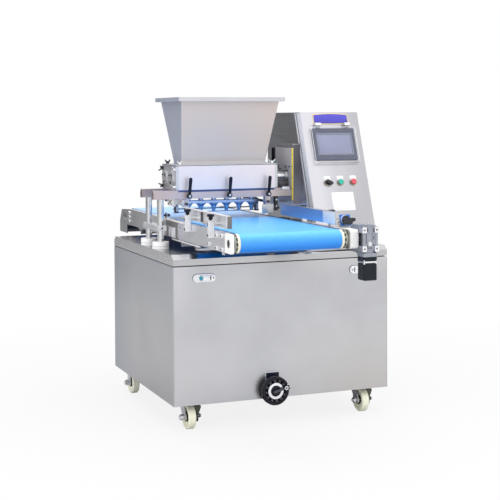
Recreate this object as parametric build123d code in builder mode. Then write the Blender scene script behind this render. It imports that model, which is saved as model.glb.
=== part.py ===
from build123d import *
from math import atan2, cos, pi, sin, tan

# Cookie depositor on casters: a cabinet with a belt conveyor, a roller head with hopper and nozzles, and a
# control tower. Millimetres, +X to the operator's right, +Y to the rear, +Z up, origin on the floor at the
# middle of the outline.

# Cabinet
cabinet_width = 956.0
cabinet_depth = 884.0
floor_gap = 112.0
front_height = 562.0
deck_edge = 26.0
deck_chamfer_run = 25.0
deck_chamfer_rise = 17.5
sheet = 2.0
panel_return = 20.0
panel_gap = 0.5
seat_gap = 0.3
seam_gap = 4.0
run_gap = 0.05
angle_bar = 4.0
angle_width = 40.0
gusset_side = 150.0
bearer_inset = 280.0
bearer_height = 50.0

# Reach of the conveyor past the cabinet
drum_reach = 391.0
tail_reach = 216.0
gearbox_nose = 71.0

# Casters
wheel_diameter = 100.0
wheel_width = 32.0
wheel_hub = 34.0
wheel_web = 16.0
axle_diameter = 12.0
caster_height = 130.0
caster_trail = 35.0
front_caster_inset = 88.0
front_caster_setback = 110.0
rear_caster_inset = 58.0
rear_caster_setback = 100.0
fork_plate = 4.0
fork_gap = 0.5
caster_plate_long = 100.0
caster_plate_wide = 84.0
caster_plate_thick = 5.0
swivel_height = 12.0
pedal_top_width = 26.0
pedal_low_width = 14.0
pedal_height = 64.0
pedal_thick = 16.0

# Handwheel of the head lift
hand_inset = 424.0
hand_height = 148.0
hand_radius = 59.0
hand_rim = 11.0
hand_standoff = 16.0
hand_thick = 26.0
hand_shaft = 16.0
hand_shaft_length = 190.0
hand_notch_width = 60.0
hand_notch_height = 109.0
crank_length = 62.0
crank_diameter = 11.0
crank_angle = 16.0

# Door latches
latch_inset = 82.0
latch_length = 96.0
latch_width = 32.0
latch_height = 622.0
latch_proud = 5.0
latch_boss = 11.0
latch_button_inset = 34.0
latch_button = 8.0
latch_travel = 3.0

# Conveyor
line_inset = 331.0
belt_width = 413.0
belt_thick = 2.5
belt_diameter = 73.0
belt_lift = 43.5
rail_gap = 33.5
rail_sheet = 3.0
rail_flange = 20.0
tail_axis_inset = 95.0
tail_plate_length = 126.0
tail_plate_drop = 42.0
tail_chamfer_run = 33.0
tail_chamfer_rise = 55.0
tail_slot_length = 40.0
bed_sheet = 3.0
leg_front = 170.0
leg_rear = 760.0
leg_width = 60.0
leg_sheet = 6.0
leg_inset = 100.0
leg_tie_gap = 4.0
drum_flange = 25.0
drum_shaft = 20.0
drum_block_length = 72.0
drum_block_thick = 9.5
drum_tongue = 100.0
gear_block_thick = 34.0
gearbox_width = 70.0
gearbox_tail = 50.0
gearbox_height = 105.0
worm_offset = 40.0
motor_side = 57.0
motor_length = 72.0
motor_flange_thick = 14.0
motor_adapter = 19.0
lead_diameter = 7.0
lead_grommet = 13.0
lead_inset = 110.0
tie_width = 30.0
tie_height = 7.0
tie_gap = 4.0

# Tray guides
guide_front_setback = -352.0
guide_rear_setback = 185.0
guide_height = 47.0
guide_width = 22.0
guide_sheet = 2.5
guide_lift = 15.0
guide_travel = 14.0
guide_gap = 8.0
post_front = -233.0
post_rear = 43.0
post_wide = 24.0
post_deep = 22.0
post_height = 66.0
post_rise = 38.0
guide_rod = 10.0
guide_rod_rise = 13.0
knob_diameter = 28.0
knob_height = 20.0
knob_stem = 8.0

# Head
column_inset = 35.0
column_diameter = 28.0
column_front = 275.0
column_rear = 441.0
column_depth = 160.0
bushing_diameter = 70.0
bushing_flange = 10.0
bushing_collar = 17.0
bushing_groove = 1.5
bushing_spigot = 42.0
link_lift = 75.5
link_height = 20.0
link_width = 40.0
link_overhang = 25.0
link_screw = 8.0
beam_height = 36.0
beam_width = 30.0
beam_lift = 205.5
beam_overhang = 34.0
beam_step = 8.0
drive_gap = 57.0
plate_thick = 10.0
plate_overhang = 2.0
plate_rise = 231.0
plate_drop = 23.0
housing_length = 438.0
housing_depth = 192.0
housing_height = 103.0
end_plate = 12.0
roller_diameter = 87.4
roller_pitch = 89.0
roller_wall = 0.4
roller_flutes = 14
roller_flute = 9.0
roller_shaft = 25.0
throat_width = 70.0
outlet_width = 24.0
cap_diameter = 58.0
cap_thick = 8.0
flange_thick = 4.0
hopper_wall = 2.0
hopper_neck_inset = 26.0
hopper_low_depth = 111.0
hopper_neck = 12.0
hopper_flare = 3.0
hopper_top_depth = 299.0
hopper_height = 284.0
rim_overhang = 18.0
rim_height = 17.0
lever_pitch = 180.0
lever_length = 76.0
lever_hub = 20.0
lever_lean = 5.0
clamp_block = 24.0
clamp_depth = 14.0
nozzle_count = 6
nozzle_pitch = 58.7
nozzle_height = 38.0
nozzle_top = 25.0
nozzle_tip = 12.0
nozzle_bore = 8.0
nozzle_collar = 44.0
nozzle_shoulder = 10.0
nozzle_bar_height = 12.0
nozzle_bar_width = 44.0
duct_diameter = 22.0
duct_height = 26.0
manifold_width = 80.0
cutter_rod = 12.0
cutter_travel = 84.0
cutter_drop = 3.0
cutter_wire = 3.0
cutter_setback = 42.0
cutter_gap = 8.0
cutter_arm = 12.0
head_down = 15.0
head_up = 60.0
drive_box_long = 54.0
drive_box_deep = 118.0
drive_box_high = 100.0
drive_motor_diameter = 76.0
drive_motor_length = 140.0

# Control tower
tower_gap = 36.0
tower_width = 277.0
tower_setback = 71.0
tower_lean_run = 199.0
tower_height = 568.0
tower_rear = 640.0
lid_depth = 45.0
rail_bar = 26.0
cable_slot_rear = 594.0
cable_slot_width = 80.0
hmi_width = 204.0
hmi_height = 147.0
hmi_thick = 8.0
hmi_rise = 452.0
hmi_shift = 3.5
screen_width = 158.0
screen_height = 88.0
cover_width = 212.0
cover_height = 166.0
cover_depth = 14.0
cover_wall = 2.5
hinge_rise = 542.0
hinge_pitch = 140.0
hinge_lug = 26.0
hinge_ear = 6.0
hinge_pin = 5.0
hinge_stand = 8.0
switch_rise = 280.5
switch_pitch = 61.4
switch_shift = 5.0
bezel_diameter = 31.0
bezel_height = 6.0
button_diameter = 24.0
button_proud = 11.0
button_travel = 4.0
isolator_rise = 110.0
isolator_side = 48.0
isolator_plate = 4.0
isolator_grip = 62.0
isolator_grip_shift = 8.0
isolator_block = 44.0
isolator_block_high = 27.0
isolator_shaft = 10.0

# Places worked out from the sizes above
x_left = -cabinet_width / 2
x_right = cabinet_width / 2
y_front = (drum_reach + gearbox_nose - tail_reach - cabinet_depth) / 2
y_rear = y_front + cabinet_depth
z_deck_low = floor_gap + front_height
z_deck = z_deck_low + deck_edge + deck_chamfer_rise
line_x = x_left + line_inset

wheel_r = wheel_diameter / 2
front_casters = {"left": x_left + front_caster_inset, "right": x_right - front_caster_inset}
rear_casters = {"left": x_left + rear_caster_inset, "right": x_right - rear_caster_inset}
swivel_y = y_front + front_caster_setback
front_axle_y = swivel_y - caster_trail
rear_axle_y = y_rear - rear_caster_setback
fork_inner = wheel_hub / 2 + fork_gap
fork_outer = fork_inner + fork_plate
fork_top = caster_height - caster_plate_thick - swivel_height

hand_x = x_left + hand_inset
hand_face_y = y_front - hand_standoff - hand_thick

belt_r = belt_diameter / 2
belt_inner_r = belt_r - belt_thick
z_belt_low = z_deck + belt_lift
z_axis = z_belt_low + belt_r
z_belt = z_belt_low + belt_diameter
drum_y = y_front - drum_reach
tail_end_y = y_rear + tail_reach
tail_y = tail_end_y - tail_axis_inset
rail_inner = belt_width / 2 + rail_gap
rail_outer = rail_inner + rail_sheet
rail_top = z_belt + 1.0
rail_front_y = drum_y + drum_block_length / 2
gear_x = line_x + rail_outer - rail_sheet + 1.0 + gear_block_thick
worm_y = drum_y - worm_offset
worm_x = gear_x + gearbox_width / 2
gearbox_low = z_axis - gearbox_height / 2
motor_top = gearbox_low - motor_flange_thick - motor_adapter
tie_ys = (rail_front_y + 10.0, rail_front_y + 10.0 + tie_width)
tie_low = z_belt_low - tie_gap - tie_height
lead_x = line_x + lead_inset
lead_y = (tie_ys[0] + tie_ys[1]) / 2
lead_z = tie_low - seat_gap - lead_diameter / 2
lead_end_y = y_front + leg_front - leg_width

guide_low = z_belt + guide_lift
guide_front_y = y_front + guide_front_setback
guide_rear_y = y_front + guide_rear_setback
guide_outer = rail_outer - guide_gap
guide_inner = guide_outer - guide_width
guide_rod_z = guide_low + guide_rod_rise
post_top = rail_top + post_rise
post_ys = {"front": y_front + post_front, "rear": y_front + post_rear}
post_x = rail_outer + post_wide / 2

column_x = x_left + column_inset
column_ys = (y_front + column_front, y_front + column_rear)
head_y = (column_ys[0] + column_ys[1]) / 2
column_r = column_diameter / 2
bushing_top = z_deck + bushing_flange + bushing_groove + bushing_collar
z_beam = z_deck + beam_lift
z_housing = z_beam + beam_height
z_housing_top = z_housing + housing_height
z_roller = z_housing + housing_height / 2
roller_ys = {"front": head_y - roller_pitch / 2, "rear": head_y + roller_pitch / 2}
end_x = housing_length / 2 + end_plate
plate_x = line_x + end_x + cap_thick + drive_gap
beam_front_face = column_ys[0] - beam_width / 2
lever_xs = {"left": line_x - lever_pitch, "middle": line_x, "right": line_x + lever_pitch}
lever_z = z_beam + 12.0
lever_y = beam_front_face - clamp_depth
hopper_low_length = housing_length - 2 * hopper_neck_inset
hopper_top_length = housing_length + 2 * hopper_flare
z_hopper = z_housing_top + flange_thick
z_rim = z_hopper + hopper_height
z_duct_top = z_housing - 24.0
z_bar_top = z_duct_top - duct_height
z_bar_low = z_bar_top - nozzle_bar_height
z_tip = z_bar_low - nozzle_height
nozzle_bar_length = nozzle_pitch * (nozzle_count - 1) + 50.0
cutter_x = nozzle_bar_length / 2 + cutter_gap + cutter_arm / 2
cutter_wire_z = z_tip - cutter_drop
cutter_rod_z = z_beam - cutter_rod - 10.0
cutter_y = head_y + cutter_setback

tower_x = plate_x + plate_thick + tower_gap
tower_mid = tower_x + tower_width / 2
tower_y = y_front + tower_setback
tower_back_y = y_front + tower_rear
z_tower = z_deck + tower_height
lean = atan2(tower_lean_run, tower_height)
lid_shift = lid_depth / cos(lean)
lift_rail_ys = (column_ys[0] + 8.0, column_ys[1] - 8.0)
drive_window = (lift_rail_ys[0] + rail_bar / 2 + 1.0, lift_rail_ys[1] - rail_bar / 2 - 1.0)
cable_slot = (y_front + cable_slot_rear - cable_slot_width, y_front + cable_slot_rear)
front_normal = (0.0, -cos(lean), sin(lean))
front_up = (0.0, sin(lean), cos(lean))


def on_front(across, rise, out=0.0):
    """A point on the tower's sloping front: across from its middle, up the slope and out of the face."""
    y = tower_y + rise * front_up[1] + out * front_normal[1]
    z = z_deck + rise * front_up[2] + out * front_normal[2]
    return (tower_mid + across, y, z)


switch_xs = {
    "selector": switch_shift - switch_pitch,
    "start": switch_shift,
    "stop": switch_shift + switch_pitch,
}
latch_z = latch_height
latch_xs = {"left": x_left + latch_inset, "right": x_right - latch_inset - latch_length}
latch_button_xs = {
    "left": latch_xs["left"] + latch_button_inset,
    "right": latch_xs["right"] + latch_length - latch_button_inset,
}

# Helpers


def save(piece, name):
    """Labels a finished piece and writes it."""
    piece.part.label = name
    export_step(piece.part, f"parts/{name}.step")


def block(xs, ys, zs, mode=Mode.ADD):
    """A box between two values on each axis."""
    middle = ((xs[0] + xs[1]) / 2, (ys[0] + ys[1]) / 2, (zs[0] + zs[1]) / 2)
    with Locations(middle):
        Box(xs[1] - xs[0], ys[1] - ys[0], zs[1] - zs[0], mode=mode)


def rod_x(xs, y, z, radius, mode=Mode.ADD):
    """A round bar along X."""
    with Locations(((xs[0] + xs[1]) / 2, y, z)):
        Cylinder(radius, xs[1] - xs[0], rotation=(0, 90, 0), mode=mode)


def rod_y(x, ys, z, radius, mode=Mode.ADD):
    """A round bar along Y."""
    with Locations((x, (ys[0] + ys[1]) / 2, z)):
        Cylinder(radius, ys[1] - ys[0], rotation=(90, 0, 0), mode=mode)


def rod_z(x, y, zs, radius, mode=Mode.ADD):
    """A round bar along Z."""
    with Locations((x, y, (zs[0] + zs[1]) / 2)):
        Cylinder(radius, zs[1] - zs[0], mode=mode)


def side_plane(x):
    """A sketch plane square to X, with Y across and Z up."""
    return Plane(origin=(x, 0, 0), x_dir=(0, 1, 0), z_dir=(1, 0, 0))


def face_plane(y):
    """A sketch plane that faces the operator, with X across and Z up."""
    return Plane(origin=(0, y, 0), x_dir=(1, 0, 0), z_dir=(0, -1, 0))


def outline(points):
    """A closed straight-sided face in the sketch that is open."""
    Polygon(*points, align=None)


def front_at(across, rise, out=0.0):
    """The tower's front plane, moved to a point on it."""
    return Plane(origin=on_front(across, rise, out), x_dir=(1, 0, 0), z_dir=front_normal)


# Base frame: angle ring on gussets, corner angles, top ring and two deck bearers
frame_front_y = y_front + panel_return
frame_back_y = y_rear - sheet
frame_half = cabinet_width / 2 - sheet
frame_mid_y = (frame_front_y + frame_back_y) / 2
frame_deep = frame_back_y - frame_front_y
frame_top = z_deck_low + deck_edge - 3 * sheet
with BuildPart() as base_frame:
    with BuildSketch(Plane.XY.offset(caster_height)):
        with Locations((0, frame_mid_y)):
            Rectangle(2 * frame_half, frame_deep)
            Rectangle(2 * (frame_half - angle_width), frame_deep - 2 * angle_width, mode=Mode.SUBTRACT)
    extrude(amount=angle_bar)
    for ring_low in (caster_height, frame_top - angle_width):
        with BuildSketch(Plane.XY.offset(ring_low)):
            with Locations((0, frame_mid_y)):
                Rectangle(2 * frame_half, frame_deep)
                Rectangle(2 * (frame_half - angle_bar), frame_deep - 2 * angle_bar, mode=Mode.SUBTRACT)
        extrude(amount=angle_width)
    for sx in (-1, 1):
        for corner_y, sy in ((frame_front_y, 1), (frame_back_y, -1)):
            with BuildSketch(Plane.XY.offset(caster_height)):
                outline([
                    (sx * frame_half, corner_y),
                    (sx * (frame_half - angle_width), corner_y),
                    (sx * (frame_half - angle_width), corner_y + sy * angle_bar),
                    (sx * (frame_half - angle_bar), corner_y + sy * angle_bar),
                    (sx * (frame_half - angle_bar), corner_y + sy * angle_width),
                    (sx * frame_half, corner_y + sy * angle_width),
                ])
            extrude(amount=frame_top - caster_height)
            with BuildSketch(Plane.XY.offset(caster_height)):
                outline([
                    (sx * frame_half, corner_y),
                    (sx * (frame_half - gusset_side), corner_y),
                    (sx * (frame_half - gusset_side), corner_y + sy * gusset_side),
                    (sx * frame_half, corner_y + sy * gusset_side),
                ])
            extrude(amount=angle_bar)
        bearer_x = sx * (frame_half - bearer_inset)
        block(
            (bearer_x - angle_bar / 2, bearer_x + angle_bar / 2),
            (frame_front_y + deck_chamfer_run, frame_back_y - deck_chamfer_run),
            (z_deck - sheet - bearer_height, z_deck - sheet),
        )
        for tie_y in (frame_front_y, frame_back_y - angle_width):
            block(
                (bearer_x - angle_bar / 2, bearer_x + angle_bar / 2),
                (tie_y, tie_y + angle_width),
                (frame_top - angle_width, frame_top),
            )
    block(
        (hand_x - hand_notch_width / 2, hand_x + hand_notch_width / 2),
        (frame_front_y, frame_front_y + 4 * angle_bar),
        (caster_height, hand_height + hand_shaft + 2 * angle_bar),
    )
    shaft_ys = (y_front, y_front + hand_shaft_length)
    rod_y(hand_x, shaft_ys, hand_height, hand_shaft / 2 + run_gap, Mode.SUBTRACT)
save(base_frame, "base_frame")

# Side and rear sheet in one fold, open to the front
with BuildPart() as cabinet_skin:
    with BuildSketch(Plane.XY.offset(floor_gap)):
        outline([
            (x_left, y_front), (x_left, y_rear), (x_right, y_rear), (x_right, y_front),
            (x_right - sheet, y_front), (x_right - sheet, y_rear - sheet),
            (x_left + sheet, y_rear - sheet), (x_left + sheet, y_front),
        ])
    extrude(amount=front_height - seam_gap)
save(cabinet_skin, "cabinet_skin")

# Lift-off front panel, a shallow tray with a notch for the lift shaft and holes for the latches
panel_half = frame_half - panel_gap
with BuildPart() as front_panel:
    with BuildSketch(face_plane(y_front)):
        with Locations((0, (floor_gap + z_deck_low - seam_gap) / 2)):
            Rectangle(2 * panel_half, front_height - seam_gap)
    extrude(amount=-panel_return)
    offset(amount=-sheet, openings=front_panel.faces().sort_by(Axis.Y)[-1])
    block(
        (hand_x - hand_notch_width / 2, hand_x + hand_notch_width / 2),
        (y_front, y_front + panel_return),
        (floor_gap, floor_gap + hand_notch_height),
        Mode.SUBTRACT,
    )
    for button_x in latch_button_xs.values():
        rod_y(button_x, (y_front, y_front + sheet), latch_z, latch_boss + run_gap, Mode.SUBTRACT)
save(front_panel, "front_panel")

# Deck tray with a chamfer along the front and the rear
with BuildPart() as top_deck:
    with BuildSketch(side_plane(x_left)):
        outline([
            (y_front, z_deck_low),
            (y_front, z_deck_low + deck_edge),
            (y_front + deck_chamfer_run, z_deck),
            (y_rear - deck_chamfer_run, z_deck),
            (y_rear, z_deck_low + deck_edge),
            (y_rear, z_deck_low),
        ])
    extrude(amount=cabinet_width)
    offset(amount=-sheet, openings=top_deck.faces().sort_by(Axis.Z)[0])
    for column_y in column_ys:
        rod_z(column_x, column_y, (z_deck - sheet, z_deck), bushing_spigot / 2 + run_gap, Mode.SUBTRACT)
    rod_z(lead_x, lead_end_y, (z_deck - sheet, z_deck), lead_diameter / 2 + run_gap, Mode.SUBTRACT)
save(top_deck, "top_deck")

# Caster top plates and swivel bearings of the two front casters
with BuildPart() as caster_mounts:
    for caster_x in front_casters.values():
        block(
            (caster_x - caster_plate_wide / 2, caster_x + caster_plate_wide / 2),
            (swivel_y - caster_plate_long / 2, swivel_y + caster_plate_long / 2),
            (caster_height - caster_plate_thick, caster_height),
        )
        rod_z(caster_x, swivel_y, (fork_top + seat_gap, caster_height - caster_plate_thick), 27.0)
        rod_z(caster_x, swivel_y, (fork_top - fork_plate - 3.0, caster_height), axle_diameter / 2)
save(caster_mounts, "caster_mounts")


def fork_legs(caster_x, top_y, axle_y, top_z):
    """Two tapered legs under a crown, with the wheel bolt through them."""
    for side in (-1, 1):
        leg_x = caster_x + side * fork_inner if side > 0 else caster_x - fork_outer
        with BuildSketch(side_plane(leg_x)) as leg:
            outline([
                (top_y - 27.0, top_z),
                (axle_y - 15.0, wheel_r + 4.0),
                (axle_y - 9.0, wheel_r - 13.0),
                (axle_y + 9.0, wheel_r - 13.0),
                (top_y + 27.0, top_z - 12.0),
                (top_y + 27.0, top_z),
            ])
        extrude(leg.sketch, amount=fork_plate)
    crown_xs = (caster_x - fork_outer, caster_x + fork_outer)
    block(crown_xs, (top_y - 27.0, top_y + 27.0), (top_z - fork_plate, top_z))
    rod_x((caster_x - fork_outer - 7.0, caster_x - fork_outer), axle_y, wheel_r, axle_diameter / 2 + 4.0)


def wheel_profile(caster_x, axle_y):
    """Half section of a solid nylon wheel, turned about its axle."""
    section = Plane(origin=(caster_x, axle_y, wheel_r), x_dir=(1, 0, 0), z_dir=(0, -1, 0))
    bore = axle_diameter / 2 + run_gap
    with BuildSketch(section) as half:
        outline([
            (-wheel_hub / 2, bore), (wheel_hub / 2, bore), (wheel_hub / 2, bore + 9.0),
            (wheel_web / 2, bore + 12.0), (wheel_web / 2, wheel_r - 14.0), (wheel_width / 2, wheel_r - 10.0),
            (wheel_width / 2, wheel_r - 4.0), (wheel_width / 2 - 4.0, wheel_r),
            (4.0 - wheel_width / 2, wheel_r), (-wheel_width / 2, wheel_r - 4.0),
            (-wheel_width / 2, wheel_r - 10.0), (-wheel_web / 2, wheel_r - 14.0),
            (-wheel_web / 2, bore + 12.0), (-wheel_hub / 2, bore + 9.0),
        ])
    revolve(half.sketch, axis=Axis((caster_x, axle_y, wheel_r), (1, 0, 0)))


# Front casters: swivel forks, wheels and brake pedals
pedal_x = fork_outer + 1.5
for side, caster_x in front_casters.items():
    with BuildPart() as fork:
        fork_legs(caster_x, swivel_y, front_axle_y, fork_top)
        rod_x((caster_x - fork_outer, caster_x + pedal_x + pedal_top_width + 2.0), front_axle_y, wheel_r,
              axle_diameter / 2)
        crown_zs = (fork_top - fork_plate, fork_top)
        rod_z(caster_x, swivel_y, crown_zs, axle_diameter / 2 + run_gap, Mode.SUBTRACT)
    save(fork, f"front_{side}_fork")

    with BuildPart() as wheel:
        wheel_profile(caster_x, front_axle_y)
    save(wheel, f"front_{side}_wheel")

    with BuildPart() as pedal:
        pedal_left = caster_x + pedal_x
        pedal_low = wheel_r - pedal_height / 3
        with BuildSketch(face_plane(front_axle_y - pedal_thick / 2)):
            outline([
                (pedal_left, pedal_low),
                (pedal_left + pedal_low_width, pedal_low),
                (pedal_left + pedal_low_width + 3.0, wheel_r + axle_diameter),
                (pedal_left + pedal_top_width, pedal_low + pedal_height - 8.0),
                (pedal_left + pedal_top_width, pedal_low + pedal_height),
                (pedal_left, pedal_low + pedal_height),
            ])
        extrude(amount=-pedal_thick)
        fillet(pedal.edges().filter_by(Axis.Y), radius=3.0)
        pedal_span = (pedal_left, pedal_left + pedal_top_width)
        rod_x((pedal_left, pedal_left + pedal_low_width), front_axle_y, wheel_r, axle_diameter / 2 + 5.0)
        rod_x(pedal_span, front_axle_y, wheel_r, axle_diameter / 2 + run_gap, Mode.SUBTRACT)
    save(pedal, f"front_{side}_brake_pedal")

# Rear casters: fixed forks with their plates, and wheels
with BuildPart() as rear_caster_forks:
    for caster_x in rear_casters.values():
        fork_legs(caster_x, rear_axle_y, rear_axle_y, caster_height - caster_plate_thick)
        rod_x((caster_x - fork_outer, caster_x + fork_outer + 6.0), rear_axle_y, wheel_r, axle_diameter / 2)
        block(
            (caster_x - caster_plate_wide / 2, caster_x + caster_plate_wide / 2),
            (rear_axle_y - caster_plate_long / 2, rear_axle_y + caster_plate_long / 2),
            (caster_height - caster_plate_thick, caster_height),
        )
save(rear_caster_forks, "rear_caster_forks")

for side, caster_x in rear_casters.items():
    with BuildPart() as wheel:
        wheel_profile(caster_x, rear_axle_y)
    save(wheel, f"rear_{side}_wheel")

# Handwheel with its shaft, and the crank handle that folds flat on it between two ears
crank_tip = hand_radius - hand_rim / 2
crank_turn = crank_angle * pi / 180
crank_radial = (cos(crank_turn), 0.0, sin(crank_turn))
crank_point = (
    hand_x + crank_tip * crank_radial[0],
    hand_face_y - crank_diameter / 2 - seat_gap,
    hand_height + crank_tip * crank_radial[2],
)
crank_pivot = Plane(origin=crank_point, x_dir=crank_radial, z_dir=(-crank_radial[2], 0.0, crank_radial[0]))
with BuildPart() as handwheel:
    turn_axis = Axis((hand_x, y_front, hand_height), (0, 1, 0))
    half_thick = hand_thick / 2
    section = Plane(origin=(hand_x, hand_face_y + half_thick, hand_height), x_dir=(0, 1, 0), z_dir=(1, 0, 0))
    with BuildSketch(section):
        outline([
            (hand_shaft_length, 0), (4.0 - half_thick, 0), (4.0 - half_thick, 34.0),
            (0.0, hand_radius - 2 * hand_rim), (-half_thick, hand_radius - hand_rim),
            (-half_thick, hand_radius - 4.0), (4.0 - half_thick, hand_radius),
            (half_thick - 4.0, hand_radius), (half_thick, hand_radius - 4.0),
            (half_thick, hand_radius - hand_rim), (6.0, hand_radius - 2 * hand_rim),
            (half_thick, 20.0), (half_thick, hand_shaft / 2), (hand_shaft_length, hand_shaft / 2),
        ])
    revolve(axis=turn_axis)
    for sign in (-1, 1):
        with BuildSketch(crank_pivot.offset(sign * (crank_diameter / 2 + seat_gap + 1.5))):
            with Locations((0, crank_diameter / 4)):
                Rectangle(hand_rim - 2.0, crank_diameter * 1.5)
        extrude(amount=1.5, both=True)
    with BuildSketch(crank_pivot):
        Circle(1.6)
    extrude(amount=crank_diameter / 2 + 2.0, both=True)
save(handwheel, "handwheel")

with BuildPart() as crank_handle:
    with BuildSketch(crank_pivot) as grip:
        with Locations((-crank_length / 2, 0)):
            SlotCenterToCenter(crank_length, crank_diameter)
        with Locations((-crank_length / 2, -crank_diameter / 2)):
            Rectangle(crank_length + 2 * crank_diameter, crank_diameter, mode=Mode.SUBTRACT)
    revolve(axis=Axis(crank_point, crank_radial))
    with BuildSketch(crank_pivot):
        Circle(1.6 + run_gap)
    extrude(amount=crank_diameter, both=True, mode=Mode.SUBTRACT)
save(crank_handle, "crank_handle")

# Panel latches, with a sprung push button in each
with BuildPart() as door_latches:
    for side, latch_x in latch_xs.items():
        middle_x = latch_x + latch_length / 2
        button_x = latch_button_xs[side]
        with BuildSketch(face_plane(y_front)):
            with Locations((middle_x, latch_z)):
                SlotOverall(latch_length, latch_width)
        extrude(amount=latch_proud)
        rod_y(button_x, (y_front, y_front + 14.0), latch_z, latch_boss)
        guide_ys = (y_front - latch_proud, y_front + 9.0)
        rod_y(button_x, guide_ys, latch_z, latch_button + seat_gap, Mode.SUBTRACT)
save(door_latches, "door_latches")
for side, button_x in latch_button_xs.items():
    with BuildPart() as latch_button_piece:
        button_front = y_front - latch_proud - 1.0
        rod_y(button_x, (button_front, y_front + 9.0 - latch_travel - seat_gap), latch_z,
              latch_button)
        fillet(latch_button_piece.edges().sort_by(Axis.Y)[0], radius=1.0)
    save(latch_button_piece, f"{side}_latch_button")

# Conveyor rails: side sheets with top flanges that run into deeper tail plates with take-up slots, a cross
# tie under the belt and the strip that carries the motor lead
rail_low = z_belt_low
tail_front_y = tail_end_y - tail_plate_length
rail_line = [
    (rail_front_y, rail_low), (tail_front_y, rail_low), (tail_front_y, rail_low - tail_plate_drop),
    (tail_end_y, rail_low - tail_plate_drop), (tail_end_y, rail_top - 8.0 - tail_chamfer_rise),
    (tail_end_y - tail_chamfer_run, rail_top - 8.0), (tail_front_y - tail_chamfer_run, rail_top),
    (rail_front_y, rail_top),
]
strip_top = lead_z - lead_diameter / 2 - seat_gap
strip_xs = (lead_x - lead_grommet - 5.0, lead_x + lead_grommet)
with BuildPart() as conveyor_rails:
    for side in (-1, 1):
        web_x = line_x + (rail_inner if side > 0 else -rail_outer)
        with BuildSketch(side_plane(web_x)):
            outline(rail_line)
            with Locations((tail_y, z_axis)):
                SlotOverall(tail_slot_length, drum_shaft + 2 * run_gap, mode=Mode.SUBTRACT)
        extrude(amount=rail_sheet)
        flange_xs = sorted((line_x + side * rail_outer, line_x + side * (rail_inner - rail_flange)))
        block(flange_xs, (rail_front_y, tail_front_y - tail_chamfer_run), (rail_top - rail_sheet, rail_top))
    block((line_x - rail_inner, line_x + rail_inner), tie_ys, (tie_low, tie_low + tie_height))
    for side in (-1, 1):
        tab_xs = sorted((line_x + side * rail_inner, line_x + side * (rail_inner - rail_sheet)))
        block(tab_xs, tie_ys, (tie_low, z_belt_low + 4.0 - seat_gap))
    block(strip_xs, (tie_ys[0], y_front + leg_front - leg_sheet), (strip_top - rail_sheet, strip_top))
    block((strip_xs[0], lead_x - lead_diameter), tie_ys, (strip_top, tie_low))
    block(
        (lead_x - lead_diameter, lead_x + lead_diameter),
        (lead_end_y - 5 * lead_diameter, lead_end_y + lead_diameter),
        (strip_top - rail_sheet, strip_top),
        Mode.SUBTRACT,
    )
save(conveyor_rails, "conveyor_rails")

# Slider bed inside the belt: hangers beside the belt carry it on two cross ties, with four legs on the deck
bed_top = z_belt - belt_thick - seat_gap
bed_rear_y = tail_y - belt_inner_r - 4.0
bed_front_y = drum_y + belt_inner_r + 4.0
with BuildPart() as conveyor_bed:
    block(
        (line_x - rail_inner, line_x + rail_inner),
        (rail_front_y + drum_tongue, tail_front_y - tail_chamfer_run),
        (bed_top - bed_sheet, bed_top),
    )
    for end_y in ((bed_front_y, rail_front_y + drum_tongue), (tail_front_y - tail_chamfer_run, bed_rear_y)):
        bed_half = belt_width / 2 + 10.0
        block((line_x - bed_half, line_x + bed_half), end_y, (bed_top - bed_sheet, bed_top))
    leg_top = z_belt_low - leg_tie_gap
    for leg_y in (y_front + leg_front, y_front + leg_rear):
        leg_ys = (leg_y - leg_width / 2, leg_y + leg_width / 2)
        for side in (-1, 1):
            hanger_xs = sorted((line_x + side * rail_inner, line_x + side * (rail_inner - leg_sheet)))
            block(hanger_xs, leg_ys, (leg_top - leg_sheet, bed_top - bed_sheet))
            leg_x = rail_inner - leg_inset
            leg_xs = sorted((line_x + side * leg_x, line_x + side * (leg_x - leg_sheet)))
            block(leg_xs, leg_ys, (z_deck, leg_top))
            foot_xs = sorted((line_x + side * leg_x, line_x + side * (leg_x - rail_gap)))
            block(foot_xs, leg_ys, (z_deck, z_deck + leg_sheet))
        tie_zs = (leg_top - 4 * leg_sheet, leg_top)
        block((line_x - rail_inner, line_x + rail_inner), (leg_y - leg_sheet, leg_y), tie_zs)
save(conveyor_bed, "conveyor_bed")

# Endless belt round the two rollers
run_length = tail_y - drum_y
with BuildPart() as conveyor_belt:
    with BuildSketch(side_plane(line_x - belt_width / 2)):
        with Locations(((drum_y + tail_y) / 2, z_axis)):
            SlotCenterToCenter(run_length, belt_diameter)
            SlotCenterToCenter(run_length, 2 * belt_inner_r, mode=Mode.SUBTRACT)
    extrude(amount=belt_width)
save(conveyor_belt, "conveyor_belt")

# Rollers: the drive drum has cream end rings beside the belt
drum_r = belt_inner_r - seat_gap
gear_end_x = gear_x + gearbox_width
with BuildPart() as drive_roller:
    belt_half = belt_width / 2
    rod_x((line_x - belt_half - 1.0, line_x + belt_half + 1.0), drum_y, z_axis, drum_r)
    for side in (-1, 1):
        ring_xs = sorted((line_x + side * (belt_half + 0.5), line_x + side * (belt_half + drum_flange)))
        rod_x(ring_xs, drum_y, z_axis, belt_r)
        groove_xs = sorted((line_x + side * (belt_half + drum_flange - 6.0),
                            line_x + side * (belt_half + drum_flange)))
        with BuildSketch(side_plane(groove_xs[0])):
            with Locations((drum_y, z_axis)):
                Circle(belt_r - 7.0)
                Circle(drum_shaft / 2 + 6.0, mode=Mode.SUBTRACT)
        extrude(amount=groove_xs[1] - groove_xs[0], mode=Mode.SUBTRACT)
    rod_x((line_x - rail_outer + 2.0, gear_end_x - 4.0), drum_y, z_axis, drum_shaft / 2)
save(drive_roller, "drive_roller")

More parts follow.
